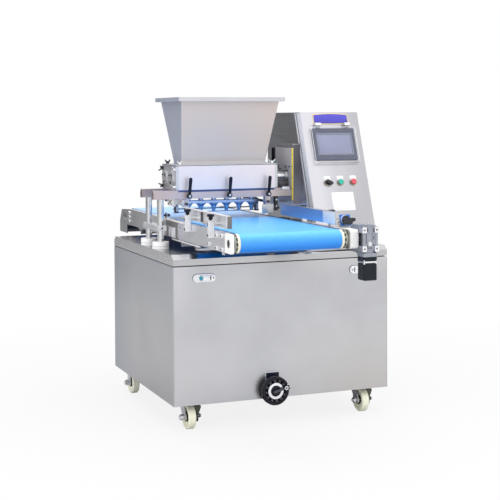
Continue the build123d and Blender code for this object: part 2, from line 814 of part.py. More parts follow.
with BuildPart() as tail_roller:
    rod_x((line_x - belt_half, line_x + belt_half), tail_y, z_axis, drum_r)
    rod_x((line_x - rail_outer + 0.5, line_x + rail_outer - 0.5), tail_y, z_axis, drum_shaft / 2)
save(tail_roller, "tail_roller")

# Drum bearing blocks: a thin nylon one on the left, a thick one under the gearbox on the right
block_zs = (z_belt_low, z_belt)
with BuildPart() as drum_bearing_blocks:
    left_xs = (line_x - rail_outer, line_x - rail_outer + drum_block_thick)
    right_xs = (line_x + rail_outer - drum_block_thick, gear_x)
    for block_xs, tongue_xs in (
        (left_xs, (line_x - rail_inner, left_xs[1])),
        (right_xs, (right_xs[0], line_x + rail_inner)),
    ):
        with BuildSketch(side_plane(block_xs[0])):
            with Locations((drum_y, z_axis)):
                RectangleRounded(drum_block_length, belt_diameter, 12.0)
            with Locations((drum_y + drum_block_length / 4, z_axis)):
                Rectangle(drum_block_length / 2, belt_diameter)
        extrude(amount=block_xs[1] - block_xs[0])
        tongue_ys = (rail_front_y, rail_front_y + drum_tongue)
        block(tongue_xs, tongue_ys, (z_belt_low + 4.0, bed_top - bed_sheet - 3.0))
        rod_x(block_xs, drum_y, z_axis, drum_shaft / 2 + run_gap, Mode.SUBTRACT)
    rod_x((left_xs[0], left_xs[0] + 4.0), drum_y, z_axis, drum_shaft / 2 + 6.0, Mode.SUBTRACT)
save(drum_bearing_blocks, "drum_bearing_blocks")

# Worm gearbox on the drum shaft: ribbed case, foot pads on the nose, motor flange underneath
gear_front_y = drum_y - gearbox_nose
gear_back_y = drum_y + gearbox_tail
with BuildPart() as gearbox:
    with BuildSketch(side_plane(gear_x + 6.0)):
        with Locations(((gear_front_y + gear_back_y) / 2, z_axis)):
            RectangleRounded(gear_back_y - gear_front_y - 8.0, gearbox_height, 18.0)
    extrude(amount=gearbox_width - 12.0)
    rod_x((gear_x, gear_end_x), drum_y, z_axis, 34.0)
    rod_z(worm_x, worm_y, (gearbox_low, gearbox_low + gearbox_height), 27.0)
    for pad_x in (gear_x + 9.0, gear_end_x - 9.0):
        for pad_z in (z_axis + 36.0, z_axis - 36.0):
            pad_ys = (gear_front_y, gear_front_y + 30.0)
            block((pad_x - 9.0, pad_x + 9.0), pad_ys, (pad_z - 11.0, pad_z + 11.0))
    with BuildSketch(Plane.XY.offset(gearbox_low - motor_flange_thick)):
        with Locations((worm_x, worm_y)):
            RectangleRounded(motor_side + 5.0, motor_side + 5.0, 9.0)
    extrude(amount=motor_flange_thick)
    for pad_x in (gear_x + 9.0, gear_end_x - 9.0):
        for pad_z in (z_axis + 36.0, z_axis - 36.0):
            rod_y(pad_x, (gear_front_y, gear_front_y + 16.0), pad_z, 3.4, Mode.SUBTRACT)
    rod_x((gear_x, gear_end_x), drum_y, z_axis, drum_shaft / 2 + run_gap, Mode.SUBTRACT)
save(gearbox, "gearbox")

# Square motor hanging under the gearbox
with BuildPart() as conveyor_motor:
    for low, high, side_length, corner in (
        (motor_top, gearbox_low - motor_flange_thick, motor_side + 3.0, 10.0),
        (motor_top - motor_length, motor_top - 8.0, motor_side, 7.0),
    ):
        with BuildSketch(Plane.XY.offset(low)):
            with Locations((worm_x, worm_y)):
                RectangleRounded(side_length, side_length, corner)
        extrude(amount=high - low)
    rod_z(worm_x, worm_y, (motor_top - 8.0, motor_top), motor_side / 2)
    bottom_edges = conveyor_motor.faces().sort_by(Axis.Z)[0].edges()
    chamfer(bottom_edges, length=3.0)
save(conveyor_motor, "conveyor_motor")

# Motor lead, under the cross tie, back along the carrier strip and down into the deck
lead_start_y = worm_y + motor_side / 2 + 1.5
lead_exit_z = motor_top + motor_adapter / 2
lead_route = [
    (worm_x, lead_start_y, lead_exit_z),
    (worm_x, lead_start_y + 12.0, lead_exit_z),
    (worm_x, lead_y, lead_z),
    (lead_x, lead_y, lead_z),
    (lead_x, lead_end_y, lead_z),
    (lead_x, lead_end_y, z_deck),
]
lead_radii = []
last_corner = len(lead_route) - 2
for corner in range(1, last_corner + 1):
    first = Vector(*lead_route[corner]) - Vector(*lead_route[corner - 1])
    second = Vector(*lead_route[corner + 1]) - Vector(*lead_route[corner])
    room_before = first.length * (0.8 if corner == 1 else 0.45)
    room_after = second.length * (0.97 if corner == last_corner else 0.45)
    half_turn = first.get_angle(second) / 2 * pi / 180
    lead_radii.append(min(room_before, room_after) / tan(half_turn))
print("lead bend radii", [round(radius, 1) for radius in lead_radii])
with BuildPart() as motor_lead:
    with BuildLine() as lead_path:
        FilletPolyline(*lead_route, radius=lead_radii)
    with BuildSketch(Plane(origin=lead_path.line @ 0, z_dir=lead_path.line % 0)):
        Circle(lead_diameter / 2)
    sweep(path=lead_path.line)
    rod_z(lead_x, lead_end_y, (z_deck, z_deck + 8.0), lead_grommet / 2)
print("lead volume", motor_lead.part.volume, "section times length",
      pi * lead_diameter ** 2 / 4 * lead_path.wire().length)
save(motor_lead, "motor_lead")

# Guide posts on the rails, bored for the guide rods and for the clamp knobs
with BuildPart() as guide_posts:
    for side in (-1, 1):
        for post_y in post_ys.values():
            middle_x = line_x + side * post_x
            with BuildSketch(Plane.XY.offset(post_top - post_height)):
                with Locations((middle_x, post_y)):
                    RectangleRounded(post_wide, post_deep, 3.0)
            extrude(amount=post_height)
            span = (middle_x - post_wide / 2, middle_x + post_wide / 2)
            rod_x(span, post_y, guide_rod_z, guide_rod / 2 + run_gap, Mode.SUBTRACT)
            bore_zs = (guide_rod_z, post_top)
            rod_z(middle_x, post_y, bore_zs, knob_stem / 2 + run_gap, Mode.SUBTRACT)
save(guide_posts, "guide_posts")

# Tray guides: channels over the belt edges, on rods that slide in the posts
for side, sign in (("left", -1), ("right", 1)):
    with BuildPart() as guide:
        web = line_x + sign * guide_inner
        lip = line_x + sign * guide_outer
        top = guide_low + guide_height
        with BuildSketch(face_plane(guide_front_y)):
            outline([
                (web, guide_low), (lip, guide_low), (lip, guide_low + guide_sheet),
                (web + sign * guide_sheet, guide_low + guide_sheet),
                (web + sign * guide_sheet, top - guide_sheet),
                (lip, top - guide_sheet), (lip, top), (web, top),
            ])
        extrude(amount=guide_front_y - guide_rear_y)
        rod_end = line_x + sign * (rail_outer + post_wide + guide_travel + 4.0)
        for post_y in post_ys.values():
            rod_x(sorted((web + sign, rod_end)), post_y, guide_rod_z, guide_rod / 2)
    save(guide, f"{side}_guide")

    for place, post_y in post_ys.items():
        with BuildPart() as knob:
            knob_low = post_top + 4.0
            knob_mid = line_x + sign * post_x
            with BuildSketch(Plane.XY.offset(knob_low)):
                with Locations((knob_mid, post_y)):
                    Circle(knob_diameter / 2 - 3.0)
                    with PolarLocations(knob_diameter / 2 - 4.5, 6):
                        Circle(4.5)
            extrude(amount=knob_height)
            fillet(knob.faces().sort_by(Axis.Z)[-1].edges(), radius=2.0)
            stem_zs = (guide_rod_z + guide_rod / 2 + seat_gap, knob_low)
            rod_z(knob_mid, post_y, stem_zs, knob_stem / 2)
        save(knob, f"{side}_{place}_knob")

# Column bushings in the deck, with a groove round each
with BuildPart() as column_bushings:
    for column_y in column_ys:
        groove_low = z_deck + bushing_flange
        rod_z(column_x, column_y, (z_deck, groove_low), bushing_diameter / 2)
        rod_z(column_x, column_y, (groove_low, groove_low + bushing_groove), bushing_diameter / 2 - 3.0)
        rod_z(column_x, column_y, (groove_low + bushing_groove, bushing_top), bushing_diameter / 2)
        rod_z(column_x, column_y, (z_deck - bushing_spigot, z_deck), bushing_spigot / 2)
        bore_zs = (z_deck - bushing_spigot, bushing_top)
        rod_z(column_x, column_y, bore_zs, column_r + run_gap, Mode.SUBTRACT)
save(column_bushings, "column_bushings")

# Lift columns and the link plate that keeps them parallel
with BuildPart() as head_columns:
    for column_y in column_ys:
        rod_z(column_x, column_y, (z_deck - column_depth, z_beam), column_r)
    chamfer(head_columns.faces().filter_by(Axis.Z).sort_by(Axis.Z)[0:2].edges(), length=2.0)
save(head_columns, "head_columns")

link_low = z_deck + link_lift
with BuildPart() as column_link:
    block(
        (column_x - link_width / 2, column_x + link_width / 2),
        (column_ys[0] - link_overhang, column_ys[1] + link_overhang),
        (link_low, link_low + link_height),
    )
    chamfer(column_link.edges().filter_by(Axis.Z), length=3.0)
    for column_y in column_ys:
        rod_z(column_x, column_y, (link_low, link_low + link_height), column_r + run_gap, Mode.SUBTRACT)
    for screw_ys in (
        (column_ys[0] - link_overhang, column_ys[0] - column_r - run_gap),
        (column_ys[1] + column_r + run_gap, column_ys[1] + link_overhang),
    ):
        rod_y(column_x, screw_ys, link_low + link_height / 2, link_screw / 2, Mode.SUBTRACT)
save(column_link, "column_link")

# Head frame: two beams, the lift plate, three clamp blocks and four lugs for the cutter rods
plate_low = z_beam - plate_drop
plate_ys = (beam_front_face - plate_overhang, column_ys[1] + beam_width / 2 + plate_overhang)
lug_low = cutter_rod_z - cutter_rod / 2 - 6.0
with BuildPart() as head_frame:
    for column_y in column_ys:
        block(
            (column_x - beam_overhang, plate_x),
            (column_y - beam_width / 2, column_y + beam_width / 2),
            (z_beam, z_beam + beam_height),
        )
        outward = -1 if column_y == column_ys[0] else 1
        face_y = column_y + outward * beam_width / 2
        block(
            (column_x - beam_overhang, plate_x),
            sorted((face_y - outward * beam_step, face_y)),
            (z_housing - beam_step, z_housing),
            Mode.SUBTRACT,
        )
        for sign in (-1, 1):
            lug_x = line_x + sign * cutter_x
            block(
                (lug_x - cutter_rod, lug_x + cutter_rod),
                (column_y - cutter_rod, column_y + cutter_rod),
                (lug_low, z_beam),
            )
    block((plate_x, plate_x + plate_thick), plate_ys, (plate_low, plate_low + plate_rise))
    for lever_x in lever_xs.values():
        block(
            (lever_x - clamp_block / 2, lever_x + clamp_block / 2),
            (lever_y, beam_front_face),
            (lever_z - 14.0, lever_z + 14.0),
        )
        rod_y(lever_x, (lever_y, beam_front_face), lever_z, 4.0 + run_gap, Mode.SUBTRACT)
    for sign in (-1, 1):
        lug_x = line_x + sign * cutter_x
        rod_y(lug_x, (column_ys[0] - 20.0, column_ys[1] + 20.0), cutter_rod_z, cutter_rod / 2 + run_gap,
              Mode.SUBTRACT)
    for roller_y in roller_ys.values():
        rod_x((plate_x, plate_x + plate_thick), roller_y, z_roller, roller_shaft / 2 + 1.0, Mode.SUBTRACT)
save(head_frame, "head_frame")

# Roller housing: two chambers side by side, a throat from the hopper and an outlet to the nozzles
housing_half = housing_length / 2
slot_half = hopper_low_length / 2 - 10.0
chamber_r = roller_diameter / 2 + roller_wall
with BuildPart() as pump_housing:
    block(
        (line_x - housing_half, line_x + housing_half),
        (head_y - housing_depth / 2, head_y + housing_depth / 2),
        (z_housing, z_housing_top),
    )
    chamfer(pump_housing.edges().filter_by(Axis.X), length=1.5)
    for roller_y in roller_ys.values():
        rod_x((line_x - housing_half, line_x + housing_half), roller_y, z_roller, chamber_r, Mode.SUBTRACT)
    slot_xs = (line_x - slot_half, line_x + slot_half)
    throat_ys = (head_y - throat_width / 2, head_y + throat_width / 2)
    outlet_ys = (head_y - outlet_width / 2, head_y + outlet_width / 2)
    block(slot_xs, throat_ys, (z_roller, z_housing_top), Mode.SUBTRACT)
    block(slot_xs, outlet_ys, (z_housing, z_roller), Mode.SUBTRACT)
save(pump_housing, "pump_housing")

# End plates with a bearing cap for each roller shaft
with BuildPart() as end_plates:
    for sign in (-1, 1):
        plate_xs = sorted((line_x + sign * housing_half, line_x + sign * end_x))
        with BuildSketch(side_plane(plate_xs[0])):
            with Locations((head_y, z_housing + housing_height / 2)):
                RectangleRounded(housing_depth, housing_height, 6.0)
        extrude(amount=end_plate)
        cap_xs = sorted((line_x + sign * end_x, line_x + sign * (end_x + cap_thick)))
        for roller_y in roller_ys.values():
            rod_x(cap_xs, roller_y, z_roller, cap_diameter / 2)
        bore_end = end_x + (cap_thick if sign > 0 else 0.0)
        bore_xs = sorted((line_x + sign * housing_half, line_x + sign * bore_end))
        for roller_y in roller_ys.values():
            rod_x(bore_xs, roller_y, z_roller, roller_shaft / 2 + run_gap, Mode.SUBTRACT)
save(end_plates, "end_plates")

# Feed rollers with flutes along their length, geared to turn against each other
roller_half = housing_half - seat_gap
for place, roller_y in roller_ys.items():
    with BuildPart() as roller:
        with BuildSketch(side_plane(line_x - roller_half)):
            with Locations((roller_y, z_roller)):
                Circle(roller_diameter / 2)
                with PolarLocations(roller_diameter / 2 + 1.0, roller_flutes):
                    Circle(roller_flute / 2, mode=Mode.SUBTRACT)
        extrude(amount=2 * roller_half)
        shaft_xs = (line_x - end_x + 1.0, plate_x + plate_thick + 25.0)
        rod_x(shaft_xs, roller_y, z_roller, roller_shaft / 2)
    save(roller, f"feed_roller_{place}")

# Hopper: flange, neck, sloping walls lofted to a wider mouth, and a folded rim
with BuildPart() as hopper:
    flange_half = (end_x, housing_depth / 2)
    with BuildSketch(Plane.XY.offset(z_housing_top)):
        with Locations((line_x, head_y)):
            RectangleRounded(2 * flange_half[0], 2 * flange_half[1], 5.0)
    extrude(amount=flange_thick)
    with BuildSketch(Plane.XY.offset(z_hopper)):
        with Locations((line_x, head_y)):
            RectangleRounded(hopper_low_length, hopper_low_depth, 6.0)
    extrude(amount=hopper_neck)
    for wall, mode in ((0.0, Mode.ADD), (hopper_wall, Mode.SUBTRACT)):
        with BuildSketch(Plane.XY.offset(z_hopper + hopper_neck)):
            with Locations((line_x, head_y)):
                RectangleRounded(hopper_low_length - 2 * wall, hopper_low_depth - 2 * wall, 6.0 - wall)
        with BuildSketch(Plane.XY.offset(z_rim)):
            with Locations((line_x, head_y)):
                RectangleRounded(hopper_top_length - 2 * wall, hopper_top_depth - 2 * wall, 6.0 - wall)
        loft(mode=mode)
    with BuildSketch(Plane.XY.offset(z_rim - rim_height)):
        with Locations((line_x, head_y)):
            RectangleRounded(hopper_top_length + 2 * rim_overhang, hopper_top_depth + 2 * rim_overhang, 8.0)
            RectangleRounded(
                hopper_top_length + 2 * rim_overhang - 2 * hopper_wall,
                hopper_top_depth + 2 * rim_overhang - 2 * hopper_wall,
                6.0,
                mode=Mode.SUBTRACT,
            )
    extrude(amount=rim_height)
    with BuildSketch(Plane.XY.offset(z_rim - hopper_wall)):
        with Locations((line_x, head_y)):
            RectangleRounded(hopper_top_length + 2 * rim_overhang, hopper_top_depth + 2 * rim_overhang, 8.0)
            RectangleRounded(
                hopper_top_length - 2 * hopper_wall,
                hopper_top_depth - 2 * hopper_wall,
                4.0,
                mode=Mode.SUBTRACT,
            )
    extrude(amount=hopper_wall)
    with BuildSketch(Plane.XY.offset(z_housing_top)):
        with Locations((line_x, head_y)):
            RectangleRounded(hopper_low_length - 2 * hopper_wall, hopper_low_depth - 2 * hopper_wall, 4.0)
    extrude(amount=flange_thick + hopper_neck, mode=Mode.SUBTRACT)
save(hopper, "hopper")

# Nozzle bar: manifold plate under the housing, six ducts and the bar that the nozzles screw into
nozzle_xs = [line_x + nozzle_pitch * (index - (nozzle_count - 1) / 2) for index in range(nozzle_count)]
bar_half = nozzle_bar_length / 2
with BuildPart() as nozzle_bar:
    block(
        (line_x - bar_half - 20.0, line_x + bar_half + 20.0),
        (head_y - manifold_width / 2, head_y + manifold_width / 2),
        (z_duct_top, z_housing),
    )
    block(
        (line_x - bar_half, line_x + bar_half),
        (head_y - nozzle_bar_width / 2, head_y + nozzle_bar_width / 2),
        (z_bar_low, z_bar_top),
    )
    chamfer(nozzle_bar.edges().filter_by(Axis.X), length=1.5)
    for nozzle_x in nozzle_xs:
        rod_z(nozzle_x, head_y, (z_bar_top, z_duct_top), duct_diameter / 2)
    block(
        (line_x - slot_half, line_x + slot_half),
        (head_y - outlet_width / 2, head_y + outlet_width / 2),
        (z_housing - 10.0, z_housing),
        Mode.SUBTRACT,
    )
    for nozzle_x in nozzle_xs:
        rod_z(nozzle_x, head_y, (z_bar_low, z_housing), nozzle_bore / 2 + 2.0, Mode.SUBTRACT)
save(nozzle_bar, "nozzle_bar")

# Nozzles: a collar against the bar, a shoulder and a cone to the tip
with BuildPart() as nozzles:
    for nozzle_x in nozzle_xs:
        with BuildSketch(Plane(origin=(nozzle_x, head_y, 0), x_dir=(1, 0, 0), z_dir=(0, -1, 0))):
            outline([
                (nozzle_bore / 2 + 2.0, z_bar_low), (nozzle_collar / 2, z_bar_low),
                (nozzle_collar / 2, z_bar_low - 2.0),
                (nozzle_top / 2, z_bar_low - 2.0 - nozzle_shoulder),
                (nozzle_tip / 2, z_tip), (nozzle_bore / 2, z_tip),
            ])
        revolve(axis=Axis((nozzle_x, head_y, 0), (0, 0, 1)))
save(nozzles, "nozzles")

# Wire cutter: two rods, two arms and the wire across under the nozzles
with BuildPart() as wire_cutter:
    for sign in (-1, 1):
        arm_x = line_x + sign * cutter_x
        rod_ys = (column_ys[0] - 2 * cutter_rod, column_ys[1] + 2 * cutter_rod + cutter_travel)
        rod_y(arm_x, rod_ys, cutter_rod_z, cutter_rod / 2)
        block(
            (arm_x - cutter_arm / 2, arm_x + cutter_arm / 2),
            (cutter_y - 13.0, cutter_y + 13.0),
            (cutter_wire_z - cutter_wire, cutter_rod_z + cutter_rod / 2 + 3.0),
        )
    rod_x((line_x - cutter_x, line_x + cutter_x), cutter_y, cutter_wire_z, cutter_wire / 2)
save(wire_cutter, "wire_cutter")

# Clamp levers on the front beam
for place, lever_x in lever_xs.items():
    with BuildPart() as lever:
        hub_ys = (lever_y - seat_gap - 14.0, lever_y - seat_gap)
        rod_y(lever_x, hub_ys, lever_z, lever_hub / 2)
        rod_y(lever_x, (lever_y - seat_gap, beam_front_face - 2.0), lever_z, 4.0)
        lean_angle = lever_lean * pi / 180
        arm_plane = Plane(
            origin=(lever_x, lever_y - seat_gap - 8.0, lever_z),
            x_dir=(cos(lean_angle), 0, -sin(lean_angle)),
            z_dir=(sin(lean_angle), 0, cos(lean_angle)),
        )
        with BuildSketch(arm_plane):
            Circle(4.5)
        with BuildSketch(arm_plane.offset(lever_length)):
            Circle(6.0)
        loft()
    save(lever, f"clamp_lever_{place}")

# Feed drive behind the lift plate: bevel box on the two shafts and a motor into the tower
drive_x = plate_x + plate_thick
with BuildPart() as feed_motor:
    block(
        (drive_x, drive_x + drive_box_long),
        (head_y - drive_box_deep / 2, head_y + drive_box_deep / 2),
        (z_roller - drive_box_high / 2, z_roller + drive_box_high / 2),
    )
    fillet(feed_motor.edges().filter_by(Axis.X), radius=6.0)
    rod_x((drive_x + drive_box_long, drive_x + drive_box_long + drive_motor_length), head_y, z_roller,
          drive_motor_diameter / 2)
    for roller_y in roller_ys.values():
        socket_xs = (drive_x, drive_x + 25.0 + seat_gap)
        rod_x(socket_xs, roller_y, z_roller, roller_shaft / 2 + run_gap, Mode.SUBTRACT)
save(feed_motor, "feed_motor")

# Control tower: a shell behind the sloping front, with the lift rails on its left wall
shell_front_y = tower_y + lid_shift
lift_rail_top = z_deck + (lift_rail_ys[0] - rail_bar / 2 - shell_front_y) / tan(lean) - 2.0
window_zs = (z_roller - drive_box_high / 2 - head_down - 5.0, z_roller + drive_box_high / 2 + head_up + 5.0)
with BuildPart() as tower_shell:
    with BuildSketch(side_plane(tower_x)):
        outline([
            (shell_front_y, z_deck), (shell_front_y + tower_lean_run, z_tower),
            (tower_back_y, z_tower), (tower_back_y, z_deck),
        ])
    extrude(amount=tower_width)
    open_faces = [tower_shell.faces().sort_by(Axis.Z)[0], tower_shell.faces().sort_by(Axis.Y)[0]]
    offset(amount=-sheet, openings=open_faces)
    block((tower_x, tower_x + sheet), drive_window, window_zs, Mode.SUBTRACT)
    block((tower_x, tower_x + sheet), cable_slot, window_zs, Mode.SUBTRACT)
    for rail_y in lift_rail_ys:
        block(
            (drive_x + seat_gap, tower_x),
            (rail_y - rail_bar / 2, rail_y + rail_bar / 2),
            (plate_low - head_down, lift_rail_top),
        )
save(tower_shell, "tower_shell")

# Sloping front of the tower, a tray with holes for the switches and lugs for the cover
with BuildPart() as tower_front:
    with BuildSketch(side_plane(tower_x)):
        outline([
            (tower_y, z_deck), (tower_y + tower_lean_run, z_tower),
            (shell_front_y + tower_lean_run, z_tower), (shell_front_y, z_deck),
        ])
    extrude(amount=tower_width)
    offset(amount=-sheet, openings=tower_front.faces().sort_by(Axis.Y)[-1])
    for across in switch_xs.values():
        with BuildSketch(front_at(across, switch_rise)):
            Circle(button_diameter / 2 + 0.5)
        extrude(amount=-2 * sheet, mode=Mode.SUBTRACT)
    for sign in (-1, 1):
        lug_across = hmi_shift + sign * hinge_pitch / 2
        with BuildSketch(front_at(lug_across, hinge_rise)):
            Rectangle(hinge_lug, 13.0)
        extrude(amount=hinge_stand + 6.0)
        pin_half = hinge_lug / 2 + hinge_ear + 1.5
        pin_start = on_front(lug_across - pin_half, hinge_rise, hinge_stand)
        with BuildSketch(Plane(origin=pin_start, z_dir=(1, 0, 0))):
            Circle(hinge_pin / 2)
        extrude(amount=2 * pin_half)
save(tower_front, "tower_front")

# Touch panel: a bevelled bezel with the screen set back in it
with BuildPart() as hmi_panel:
    with BuildSketch(front_at(hmi_shift, hmi_rise)):
        RectangleRounded(hmi_width, hmi_height, 6.0)
    extrude(amount=hmi_thick)
    top_face = hmi_panel.faces().sort_by(Axis(on_front(0, 0), front_normal))[-1]
    chamfer(top_face.edges(), length=3.0)
    with BuildSketch(front_at(hmi_shift, hmi_rise, hmi_thick)):
        Rectangle(screen_width, screen_height)
    extrude(amount=-1.2, mode=Mode.SUBTRACT)
save(hmi_panel, "hmi_panel")

# Clear splash cover over the touch panel, hinged along its top edge
cover_mid = hinge_rise - 12.0 - cover_height / 2
with BuildPart() as hmi_cover:
    with BuildSketch(front_at(hmi_shift, cover_mid, seat_gap)):
        RectangleRounded(cover_width, cover_height, 5.0)
    extrude(amount=cover_depth)
    back_face = hmi_cover.faces().sort_by(Axis(on_front(0, 0), front_normal))[0]
    offset(amount=-cover_wall, openings=back_face)
    for sign in (-1, 1):
        for ear_side in (-1, 1):
            ear_step = hinge_lug / 2 + 1.0 + hinge_ear / 2
            ear_across = hmi_shift + sign * hinge_pitch / 2 + ear_side * ear_step
            ear_low = cover_mid + cover_height / 2 - cover_wall
            ear_high = hinge_rise + 5.0
            with BuildSketch(front_at(ear_across, (ear_low + ear_high) / 2, hinge_stand - 5.0)):
                Rectangle(hinge_ear, ear_high - ear_low)
            extrude(amount=10.0)
            pin_start = on_front(ear_across - hinge_ear, hinge_rise, hinge_stand)
            with BuildSketch(Plane(origin=pin_start, z_dir=(1, 0, 0))):
                Circle(hinge_pin / 2 + run_gap)
            extrude(amount=2 * hinge_ear, mode=Mode.SUBTRACT)
save(hmi_cover, "hmi_cover")

# Switch bezels and the isolator's plate
bezel_bore = button_diameter / 2 + seat_gap
with BuildPart() as switch_bezels:
    for across in switch_xs.values():
        with BuildSketch(front_at(across, switch_rise)):
            Circle(bezel_diameter / 2)
            Circle(bezel_bore, mode=Mode.SUBTRACT)
        extrude(amount=bezel_height)
    with BuildSketch(front_at(0, isolator_rise)):
        RectangleRounded(isolator_side, isolator_side, 4.0)
        Circle(isolator_shaft / 2 + run_gap, mode=Mode.SUBTRACT)
    extrude(amount=isolator_plate)
save(switch_bezels, "switch_bezels")

for name, across in (("start_button", switch_xs["start"]), ("stop_button", switch_xs["stop"])):
    with BuildPart() as button:
        with BuildSketch(front_at(across, switch_rise, button_proud)):
            Circle(button_diameter / 2)
        extrude(amount=-button_proud - 8.0)
        cap_edge = button.edges().sort_by(Axis(on_front(0, 0), front_normal))[-1]
        fillet(cap_edge, radius=1.5)
    save(button, name)

with BuildPart() as selector_knob:
    with BuildSketch(front_at(switch_xs["selector"], switch_rise, bezel_height + 1.0)):
        Circle(button_diameter / 2)
    extrude(amount=-bezel_height - 7.0)
    with BuildSketch(front_at(switch_xs["selector"], switch_rise, bezel_height + 1.0)):
        with Locations((4.0, -2.3)):
            SlotOverall(button_diameter + 10.0, 14.0, rotation=-30)
    extrude(amount=11.0)
save(selector_knob, "selector_knob")

with BuildPart() as isolator_handle:
    with BuildSketch(front_at(0, isolator_rise, isolator_plate + seat_gap)):
        Circle(isolator_side / 2 - 6.0)
    extrude(amount=9.0)
    with BuildSketch(front_at(0, isolator_rise, isolator_plate + seat_gap + 9.0)):
        with Locations((isolator_grip_shift, -4.0)):
            SlotOverall(isolator_grip, 15.0)
        with Locations((1.0, -9.5)):
            RectangleRounded(isolator_block, isolator_block_high, 5.0)
    extrude(amount=13.0)
    fillet(isolator_handle.faces().sort_by(Axis(on_front(0, 0), front_normal))[-1].edges(), radius=3.0)
    with BuildSketch(front_at(0, isolator_rise, isolator_plate + seat_gap)):
        Circle(isolator_shaft / 2)
    extrude(amount=-isolator_plate)
save(isolator_handle, "isolator_handle")
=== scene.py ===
import bmesh
import bpy
from itertools import product
from math import atan2, cos, pi, radians, sin
from mathutils import Matrix, Vector


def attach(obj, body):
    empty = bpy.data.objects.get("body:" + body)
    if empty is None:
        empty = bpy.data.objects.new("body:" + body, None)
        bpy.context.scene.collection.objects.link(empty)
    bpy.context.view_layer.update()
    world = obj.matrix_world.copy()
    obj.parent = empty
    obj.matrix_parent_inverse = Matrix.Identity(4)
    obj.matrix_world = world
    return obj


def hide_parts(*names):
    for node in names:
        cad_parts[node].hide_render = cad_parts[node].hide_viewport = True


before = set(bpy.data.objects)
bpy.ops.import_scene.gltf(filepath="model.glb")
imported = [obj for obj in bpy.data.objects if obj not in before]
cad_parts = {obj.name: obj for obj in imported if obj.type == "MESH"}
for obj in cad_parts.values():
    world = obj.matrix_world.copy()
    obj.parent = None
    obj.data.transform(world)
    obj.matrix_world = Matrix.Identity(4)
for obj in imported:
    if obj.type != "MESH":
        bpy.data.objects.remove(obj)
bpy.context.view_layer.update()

# Directions of the model and of the tower's sloping front
left, right = (-1, 0, 0), (1, 0, 0)
front, back = (0, -1, 0), (0, 1, 0)
top, below = (0, 0, 1), (0, 0, -1)
slope_up = (0, 0.33067, 0.94375)
slope_out = (0, -0.94375, 0.33067)


# Shader nodes

def graph(name):
    """A new material with its node tree and its main shader."""
    material = bpy.data.materials.new(name)
    material.use_nodes = True
    tree = material.node_tree
    return material, tree, tree.nodes["Principled BSDF"]


def settle(made, **values):
    """Sets a node's inputs by their names."""
    for key, value in values.items():
        made.inputs[key.replace("_", " ")].default_value = value


def feed(tree, made, **sources):
    """Links sockets to a node's inputs by their names."""
    for key, source in sources.items():
        tree.links.new(source, made.inputs[key.replace("_", " ")])


def node(tree, kind, **values):
    """A shader node with its settings and inputs."""
    made = tree.nodes.new("ShaderNode" + kind)
    for key, value in values.items():
        if hasattr(made, key):
            setattr(made, key, value)
        else:
            settle(made, **{key: value})
    return made


def reckon(tree, operation, *values):
    """The result of a math node, from sockets and plain numbers."""
    made = node(tree, "Math", operation=operation)
    for index, value in enumerate(values):
        if isinstance(value, float):
            made.inputs[index].default_value = value
        else:
            tree.links.new(value, made.inputs[index])
    return made.outputs["Value"]


def joined(tree, operation, values):
    """Several values taken together by one kind of math node."""
    total = values[0]
    for value in values[1:]:
        total = reckon(tree, operation, total, value)
    return total


def split(tree, vector):
    """The three outputs of a vector, by axis."""
    parts = node(tree, "SeparateXYZ")
    feed(tree, parts, Vector=vector)
    return parts.outputs


def along(tree, vector, direction):
    """How far a vector reaches along a direction."""
    made = node(tree, "VectorMath", operation="DOT_PRODUCT")
    made.inputs[1].default_value = direction
    tree.links.new(vector, made.inputs[0])
    return made.outputs["Value"]


def position(tree):
    return node(tree, "NewGeometry").outputs["Position"]


def stretched(tree, scale=(1, 1, 1)):
    """Object coordinates, stretched along one direction."""
    coords = node(tree, "TexCoord")
    mapping = node(tree, "Mapping", Scale=scale)
    feed(tree, mapping, Vector=coords.outputs["Object"])
    return mapping.outputs["Vector"]


def noise(tree, vector, scale, detail):
    made = node(tree, "TexNoise", Scale=scale, Detail=detail, Roughness=0.55)
    feed(tree, made, Vector=vector)
    return made.outputs["Fac"]


def spread(tree, value, low=0, high=1, from_low=0.3, from_high=0.7):
    """A value brought from one range to another."""
    made = node(tree, "MapRange", From_Min=from_low, From_Max=from_high, To_Min=low, To_Max=high)
    feed(tree, made, Value=value)
    return made.outputs["Result"]


def mixed(tree, share, first, second, kind="RGBA"):
    """A mix of two, each a plain colour or a socket."""
    made = node(tree, "Mix", data_type=kind)
    feed(tree, made, Factor=share)
    for name, source in (("A", first), ("B", second)):
        if isinstance(source, tuple):
            made.inputs[name].default_value = (*source, 1)
        else:
            tree.links.new(source, made.inputs[name])
    return made.outputs["Result"]


def soften(tree, shader, height, strength, distance, radius=0.0008):
    """Fine bump on top of edges that are rounded in the shading."""
    edge = node(tree, "Bevel", samples=4, Radius=radius)
    bump = node(tree, "Bump", Strength=strength, Distance=distance)
    feed(tree, bump, Height=height, Normal=edge.outputs["Normal"])
    feed(tree, shader, Normal=bump.outputs["Normal"])


def facing(direction, low, high):
    """A limit on the way that a face looks."""
    return "Normal", direction, low, high


def placed(direction, low, high):
    """A limit on the place along a direction, in metres."""
    return "Position", direction, low, high


def within(tree, limits):
    """How far all limits hold at once."""
    place = node(tree, "NewGeometry")
    shares = []
    for source, direction, low, high in limits:
        reach = along(tree, place.outputs[source], direction)
        shares.append(spread(tree, reach, 0, 1, low, high))
    return joined(tree, "MULTIPLY", shares)


def skinned(tree, shader, cloud, colour, shade, painted_tints):
    """Base colour that drifts a little, with painted light and shade where the limits hold."""
    dark = tuple(part * (1 - shade) for part in colour)
    light = tuple(min(1, part * (1 + shade)) for part in colour)
    skin = mixed(tree, spread(tree, cloud), dark, light)
    for limits, other in painted_tints:
        skin = mixed(tree, within(tree, limits), skin, other)
    feed(tree, shader, Base_Color=skin)


# Materials

